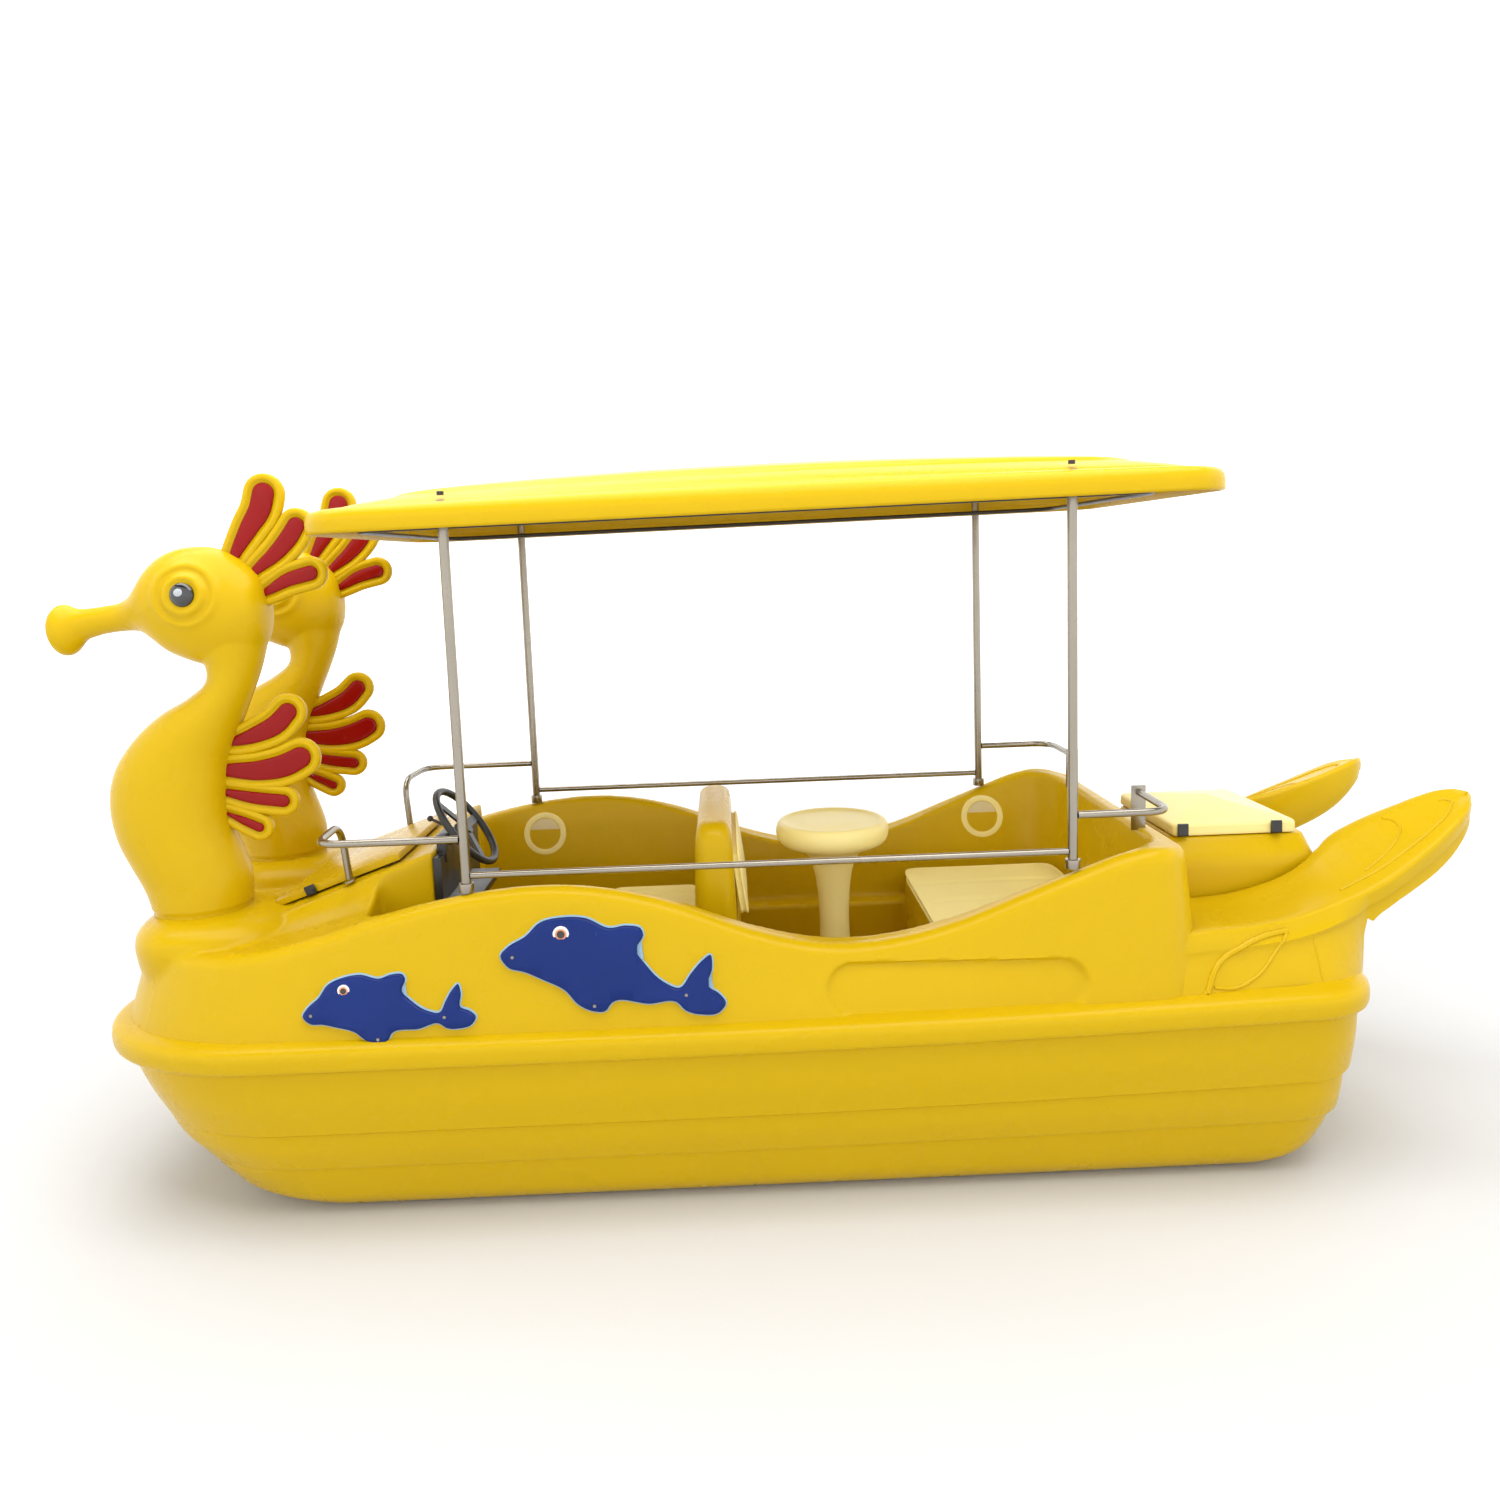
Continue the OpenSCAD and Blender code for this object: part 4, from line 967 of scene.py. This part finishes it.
def tail_ring(row):
    x, yo, zo, yi, zi, yf, zb, share = row
    deep = zo - zb
    e = min(.018, deep * .35)
    band = min(BAND, deep * .6)
    lean = (yf - yo) / deep
    lip = np.array((yo + lean * band, zo - band))
    notch = .010 * share
    out = [(yo - e * 1.2, zo), (yo - e * .5, zo - e * .17), (yo - e * .15, zo - e * .5), (yo, zo - e),
           tuple(lip + (.001, .010)), tuple(lip), tuple(lip + (-notch, -.003)), tuple(lip + (-notch, -.010))]
    start = np.array(out[-1])
    for t in (.2, .4, .6, .8, .95, 1.0):
        out.append(tuple(start + (np.array((yf, zb)) - start) * t))
    out += [(yf - (yf - yi) * .35, zb), (yi + .04, zb), (yi + .012, zb + deep * .05), (yi, zb + deep * .2)]
    out += [(yi, (zb + zi) / 2), (yi, zi - e), (yi + .003, zi - e * .5), (yi + e * .5, zi - e * .17),
            (yi + e * 1.2, zi)]
    for t in (.15, .3, .45, .6, .75, .9):
        y = yi + e * 1.2 + (yo - yi - 2.4 * e) * t
        out.append((y, zi + (zo - zi) * t - .008 * math.sin(math.pi * t)))
    return [(x, y, z) for y, z in out]


def make_tails():
    table = np.array(TAIL)
    xs = np.unique(np.concatenate([np.linspace(1.302, 2.503, 76), table[:, 0]]))
    rows = hermite(table[:, 0], table[:, 1:], xs)
    tail = loft([tail_ring((x, *r)) for x, r in zip(xs, rows)])
    tree = BVHTree.FromObject(tail, bpy.context.evaluated_depsgraph_get())
    marks = []

    def on_top(x, y):
        hit = tree.ray_cast(Vector((x, y, 2)), Vector((0, 0, -1)))[0]
        return (x, y, hit.z - .0005)

    def on_side(x, z):
        hit = tree.ray_cast(Vector((x, 1.2, z)), Vector((0, -1, 0)))[0]
        return (x, hit.y - .0005, z)

    x = np.linspace(1.93, 2.36, 24)
    edge = hermite(table[:, 0], table[:, 1], x) - .062
    feather_tip = [(2.410, .385), (2.428, .360), (2.424, .338), (2.405, .325)]
    feather = np.concatenate([np.stack([x, edge], 1), feather_tip])
    crescent = [(2.215, .300), (2.240, .335), (2.238, .375), (2.200, .420), (2.130, .465), (2.040, .505)]
    for line, r in ((spline(feather, 70), .0050), (spline(crescent, 40), .0042)):
        marks.append(tube([on_top(*q) for q in line], r, 8))
    leaf = [(1.381, .667), (1.424, .746), (1.510, .796), (1.597, .820), (1.685, .829)]
    under_leaf = [(1.685, .829), (1.633, .773), (1.556, .709), (1.468, .677), (1.407, .684)]
    stalk = [(1.362, .652), (1.395, .690), (1.424, .746)]
    seam = [(1.772, .640), (1.772, .72), (1.772, .80)]
    for line, r in ((leaf, .0100), (under_leaf, .0058), (stalk, .0070), (seam, .0035)):
        marks.append(tube([on_side(*q) for q in spline(line, 30)], r, 8))
    tail = joined([tail] + marks)
    twin = mirrored(tail)
    piece(tail, "tail_starboard_moulding", "hull_plastic", "tail_starboard", sharp=40)
    piece(twin, "tail_port_moulding", "hull_plastic", "tail_port", sharp=40)


# ---- stern locker, seats and table


def rounded_ring(x0, x1, y0, y1, z, r, n=7):
    r = min(r, (x1 - x0) / 2 - .001, (y1 - y0) / 2 - .001)
    corners = [arc(cx, cy, r, r, a, a + 90, n) for cx, cy, a in
               ((x1 - r, y1 - r, 0), (x0 + r, y1 - r, 90), (x0 + r, y0 + r, 180), (x1 - r, y0 + r, 270))]
    return at_height(np.concatenate(corners), z)


def stepped(x0, x1, half, steps, stern_share=1.0, n=7):
    """Rings of a rounded block; steps are height, insets in x and y, and corner radius.

    stern_share scales the inset at the stern."""
    return [rounded_ring(x0 + dx, x1 - dx * stern_share, -half + dy, half - dy, z, r, n)
            for z, dx, dy, r in steps]


def make_locker():
    steps = ((.700, 0, 0, .03), (.74, 0, 0, .03), (.94, .001, .001, .03), (.975, .004, .008, .035),
             (1.000, .008, .026, .04), (1.025, .011, .048, .04), (1.040, .014, .058, .04),
             (1.0455, .020, .066, .04))
    locker = loft(stepped(1.456, 1.980, .330, steps, 1.4))
    combine(locker, [box(1.53, 1.88, -.225, .225, .78, 1.2)], "DIFFERENCE")
    piece(locker, "stern_locker_body", "hull_plastic", "stern_locker", sharp=30)


def make_lid():
    base = 1.0500
    steps = ((0, .004), (.003, .001), (.010, 0), (.034, .001), (.041, .004), (.045, .010), (.047, .016))
    rings = stepped(1.475, 1.925, .272, [(base + z, inset, inset, .018) for z, inset in steps], n=5)
    rings.append(rounded_ring(1.692, 1.708, -.008, .008, base + .092, .005, 5))
    lid = loft(rings)
    inner = loft([rounded_ring(1.492, 1.908, -.255, .255, base + z, .014, 5) for z in (-.02, .034)])
    combine(lid, [inner], "DIFFERENCE")
    piece(lid, "locker_lid_moulding", "cream_plastic", "locker_lid", body="lid", sharp=8)


def make_backrest():
    steps = [(.702, 0, 0), (.80, .002, .003), (.95, .006, .010), (1.08, .011, .022), (1.13, .014, .034),
             (1.158, .019, .050), (1.174, .028, .068), (1.182, .040, .088), (1.184, .052, .11)]
    rings = stepped(-.266, -.112, .412, [(*row, .045) for row in steps], .9, 8)
    piece(loft(rings), "backrest_moulding", "hull_plastic", "front_backrest", sharp=50)


def cushion(x0, x1, y0, y1, z, high, crown, channels=0):
    """Crowned pad with pulled-in sides, piping at both edges and sewn channels."""
    nu, nv = 40, 56
    u, v = np.meshgrid(np.linspace(-1, 1, nu), np.linspace(-1, 1, nv), indexing="ij")
    puff = (1 - u ** 6) * (1 - v ** 6)
    soft = crown * (1 - .8 * u ** 4) * (1 - v ** 4) * puff ** .5
    for k in range(channels):
        c = -1 + 2 * (k + 1) / (channels + 1)
        soft -= .008 * np.exp(-((v - c) / .02) ** 2) * (1 - u ** 8)
    hx, hy = (x1 - x0) / 2, (y1 - y0) / 2
    r = .035
    pull = 1 - .010 * (1 - v ** 2)
    pull_y = 1 - .010 * (1 - u ** 2)
    gx = (x0 + x1) / 2 + hx * u * pull * (1 - .5 * (r / hx) * (np.abs(u) * np.abs(v)) ** 10)
    gy = (y0 + y1) / 2 + hy * v * pull_y * (1 - .5 * (r / hy) * (np.abs(u) * np.abs(v)) ** 10)
    top = np.stack([gx, gy, z + high * .72 + soft], 2)
    rim = [(i, 0) for i in range(nu)] + [(nu - 1, j) for j in range(1, nv)]
    rim += [(i, nv - 1) for i in range(nu - 2, -1, -1)] + [(0, j) for j in range(nv - 2, 0, -1)]
    loop = np.array([top[i, j] for i, j in rim])
    mid = np.array([(x0 + x1) / 2, (y0 + y1) / 2, 0])
    rings = []
    for k, t in ((1.0, .68), (.994, .5), (.990, .35), (.992, .18), (.985, .06), (.96, 0)):
        ring = mid + (loop - mid) * k
        ring[:, 2] = z + high * t
        rings.append(ring)
    verts = list(top.reshape(-1, 3))
    faces = [(i * nv + j, (i + 1) * nv + j, (i + 1) * nv + j + 1, i * nv + j + 1)
             for i in range(nu - 1) for j in range(nv - 1)]
    last = [i * nv + j for i, j in rim]
    for ring in rings:
        new = list(range(len(verts), len(verts) + len(rim)))
        verts += list(ring)
        after = [(k + 1) % len(rim) for k in range(len(rim))]
        faces += [(last[k], last[m], new[m], new[k]) for k, m in enumerate(after)]
        last = new
    faces.append(tuple(last))
    pad = mesh_object("pad", verts, faces)
    pipes = []
    for t, k in ((.70, 1.002), (.05, .990)):
        path = mid + (loop - mid) * k
        path[:, 2] = z + high * t
        a = path[np.arange(0, len(path), 2)]
        n = len(a)
        along = np.roll(a, -1, 0) - np.roll(a, 1, 0)
        along /= np.linalg.norm(along, axis=1, keepdims=True)
        side = np.cross(along, [0, 0, 1.0])
        w = around(8)[:, None]
        rings = [a[i] + .0042 * (np.cos(w) * side[i] + np.sin(w) * [0, 0, 1]) for i in range(n)]
        pipes.append(loft(rings, wrap=True))
    return joined([pad] + pipes)


def make_cushions():
    front = [cushion(-.634, -.278, y, y + .396, .702, .044, .012, 2) for y in (-.418, .022)]
    back = cushion(-.125, .125, -.325, .325, 0, .030, .010, 3)
    turn = Matrix.Translation((-.112, 0, .955)) @ Matrix.Rotation(math.radians(83), 4, "Y")
    back.data.transform(turn)
    seats = piece(joined(front + [back]), "front_pads", "cushion", "front_cushions", sharp=60)
    bench = piece(cushion(.608, 1.252, -.478, .478, .717, .044, .012, 3), "bench_pad", "cushion",
                  "rear_cushion", sharp=60)


def make_table():
    at = (.263, 0)
    floor, top = .3805, 1.100
    stem = [(.0, floor), (.118, floor), (.120, floor + .006), (.116, floor + .014), (.098, floor + .024),
            (.080, .45), (.068, .52), (.060, .60), (.057, .68), (.058, .76), (.063, .83), (.074, .90),
            (.094, .955), (.125, .990), (.160, 1.000), (.0, 1.0005)]
    disc_rows = [(.0, 1.002), (.150, 1.002), (.180, 1.006), (.200, 1.018), (.212, 1.036), (.2158, 1.056),
                 (.2145, 1.074), (.208, 1.090), (.199, 1.0985), (.192, top), (.186, top - .001),
                 (.181, top - .005), (.176, top - .0075), (.160, top - .009), (.10, top - .007),
                 (.05, top - .0055), (.0, top - .005)]
    piece(lathe(spline_profile(stem), at), "table_stem", "cream_plastic", "table_pedestal", sharp=50)
    piece(lathe(spline_profile(disc_rows), at, 96), "table_disc", "cream_plastic", "table_top", sharp=50)


def spline_profile(rows):
    return [tuple(p) for p in spline(rows, len(rows) * 3)]


# ---- CAD nodes that stay


def dress(node, look):
    """Finish of a CAD node, with softened edges."""
    ob = NODES[node]
    for name in ("custom_normal", "sharp_edge", "sharp_face"):
        if name in ob.data.attributes:
            ob.data.attributes.remove(ob.data.attributes[name])
    ob.data.materials.clear()
    ob.data.materials.append(LOOK[look])
    weld = ob.modifiers.new("weld", "WELD")
    weld.merge_threshold = .00002
    if node in BEVELS:
        b = ob.modifiers.new("bevel", "BEVEL")
        b.width, b.segments, b.limit_method = BEVELS[node], 3, "ANGLE"
        b.angle_limit = math.radians(32)
        b.use_clamp_overlap = True
    ob.data.shade_smooth()
    soft = ob.modifiers.new("sharp", "EDGE_SPLIT")
    soft.split_angle = math.radians(35)


PEDALS = ["pedal_1", "pedal_2", "pedal_3", "pedal_4"]
KEPT = {
    # The canopy frame tube is steel; its near-black finish is painted shade from the roof above.
    "steel_painted_shade": ["canopy_frame"],
    "stainless": ["post_front_port", "post_front_starboard", "post_rear_port",
                  "post_rear_starboard", "side_rails", "rail_fittings", "crankshaft", "propeller_shaft",
                  "shaft_hangers", "rudder_tube"],
    "black_plastic": ["canopy_fixings", "console_panel", "steering_column", "drive_lever", "bow_latch",
                      "locker_latch_fore", "locker_latch_aft", "locker_hinge", *PEDALS, "crank_bearings",
                      "gearbox", "propeller", "rudder", "steering_cable", "drain_plugs"],
    "wheel_rubber": ["steering_wheel", "keel_skids"],
    "cream_plastic": ["inspection_rings"],
    "tan_plastic": ["inspection_lids"],
    "foam": ["buoyancy_foam"],
    "hull_plastic": ["bow_hatch"],
}
BEVELS = {"console_panel": .003, "bow_latch": .0015, "locker_latch_fore": .0015, "locker_latch_aft": .0015,
          **dict.fromkeys(PEDALS, .003), "gearbox": .008, "inspection_rings": .003, "inspection_lids": .002,
          "bow_hatch": .005, "keel_skids": .003, "rail_fittings": .002, "crank_bearings": .003}


def dress_kept():
    for look, nodes in KEPT.items():
        for node in nodes:
            dress(node, look)


add_camera()
add_studio()
make_hull()
make_rub_rail()
deck = make_deck()
for side, name in ((-1, "port"), (1, "starboard")):
    make_seahorse(side, "seahorse_" + name)
    make_fins(side, "fins_" + name)
make_eyes()
make_inlays()
make_canopy()
make_rails()
make_dolphins(deck)
make_tails()
make_locker()
make_lid()
make_backrest()
make_cushions()
make_table()
dress_kept()
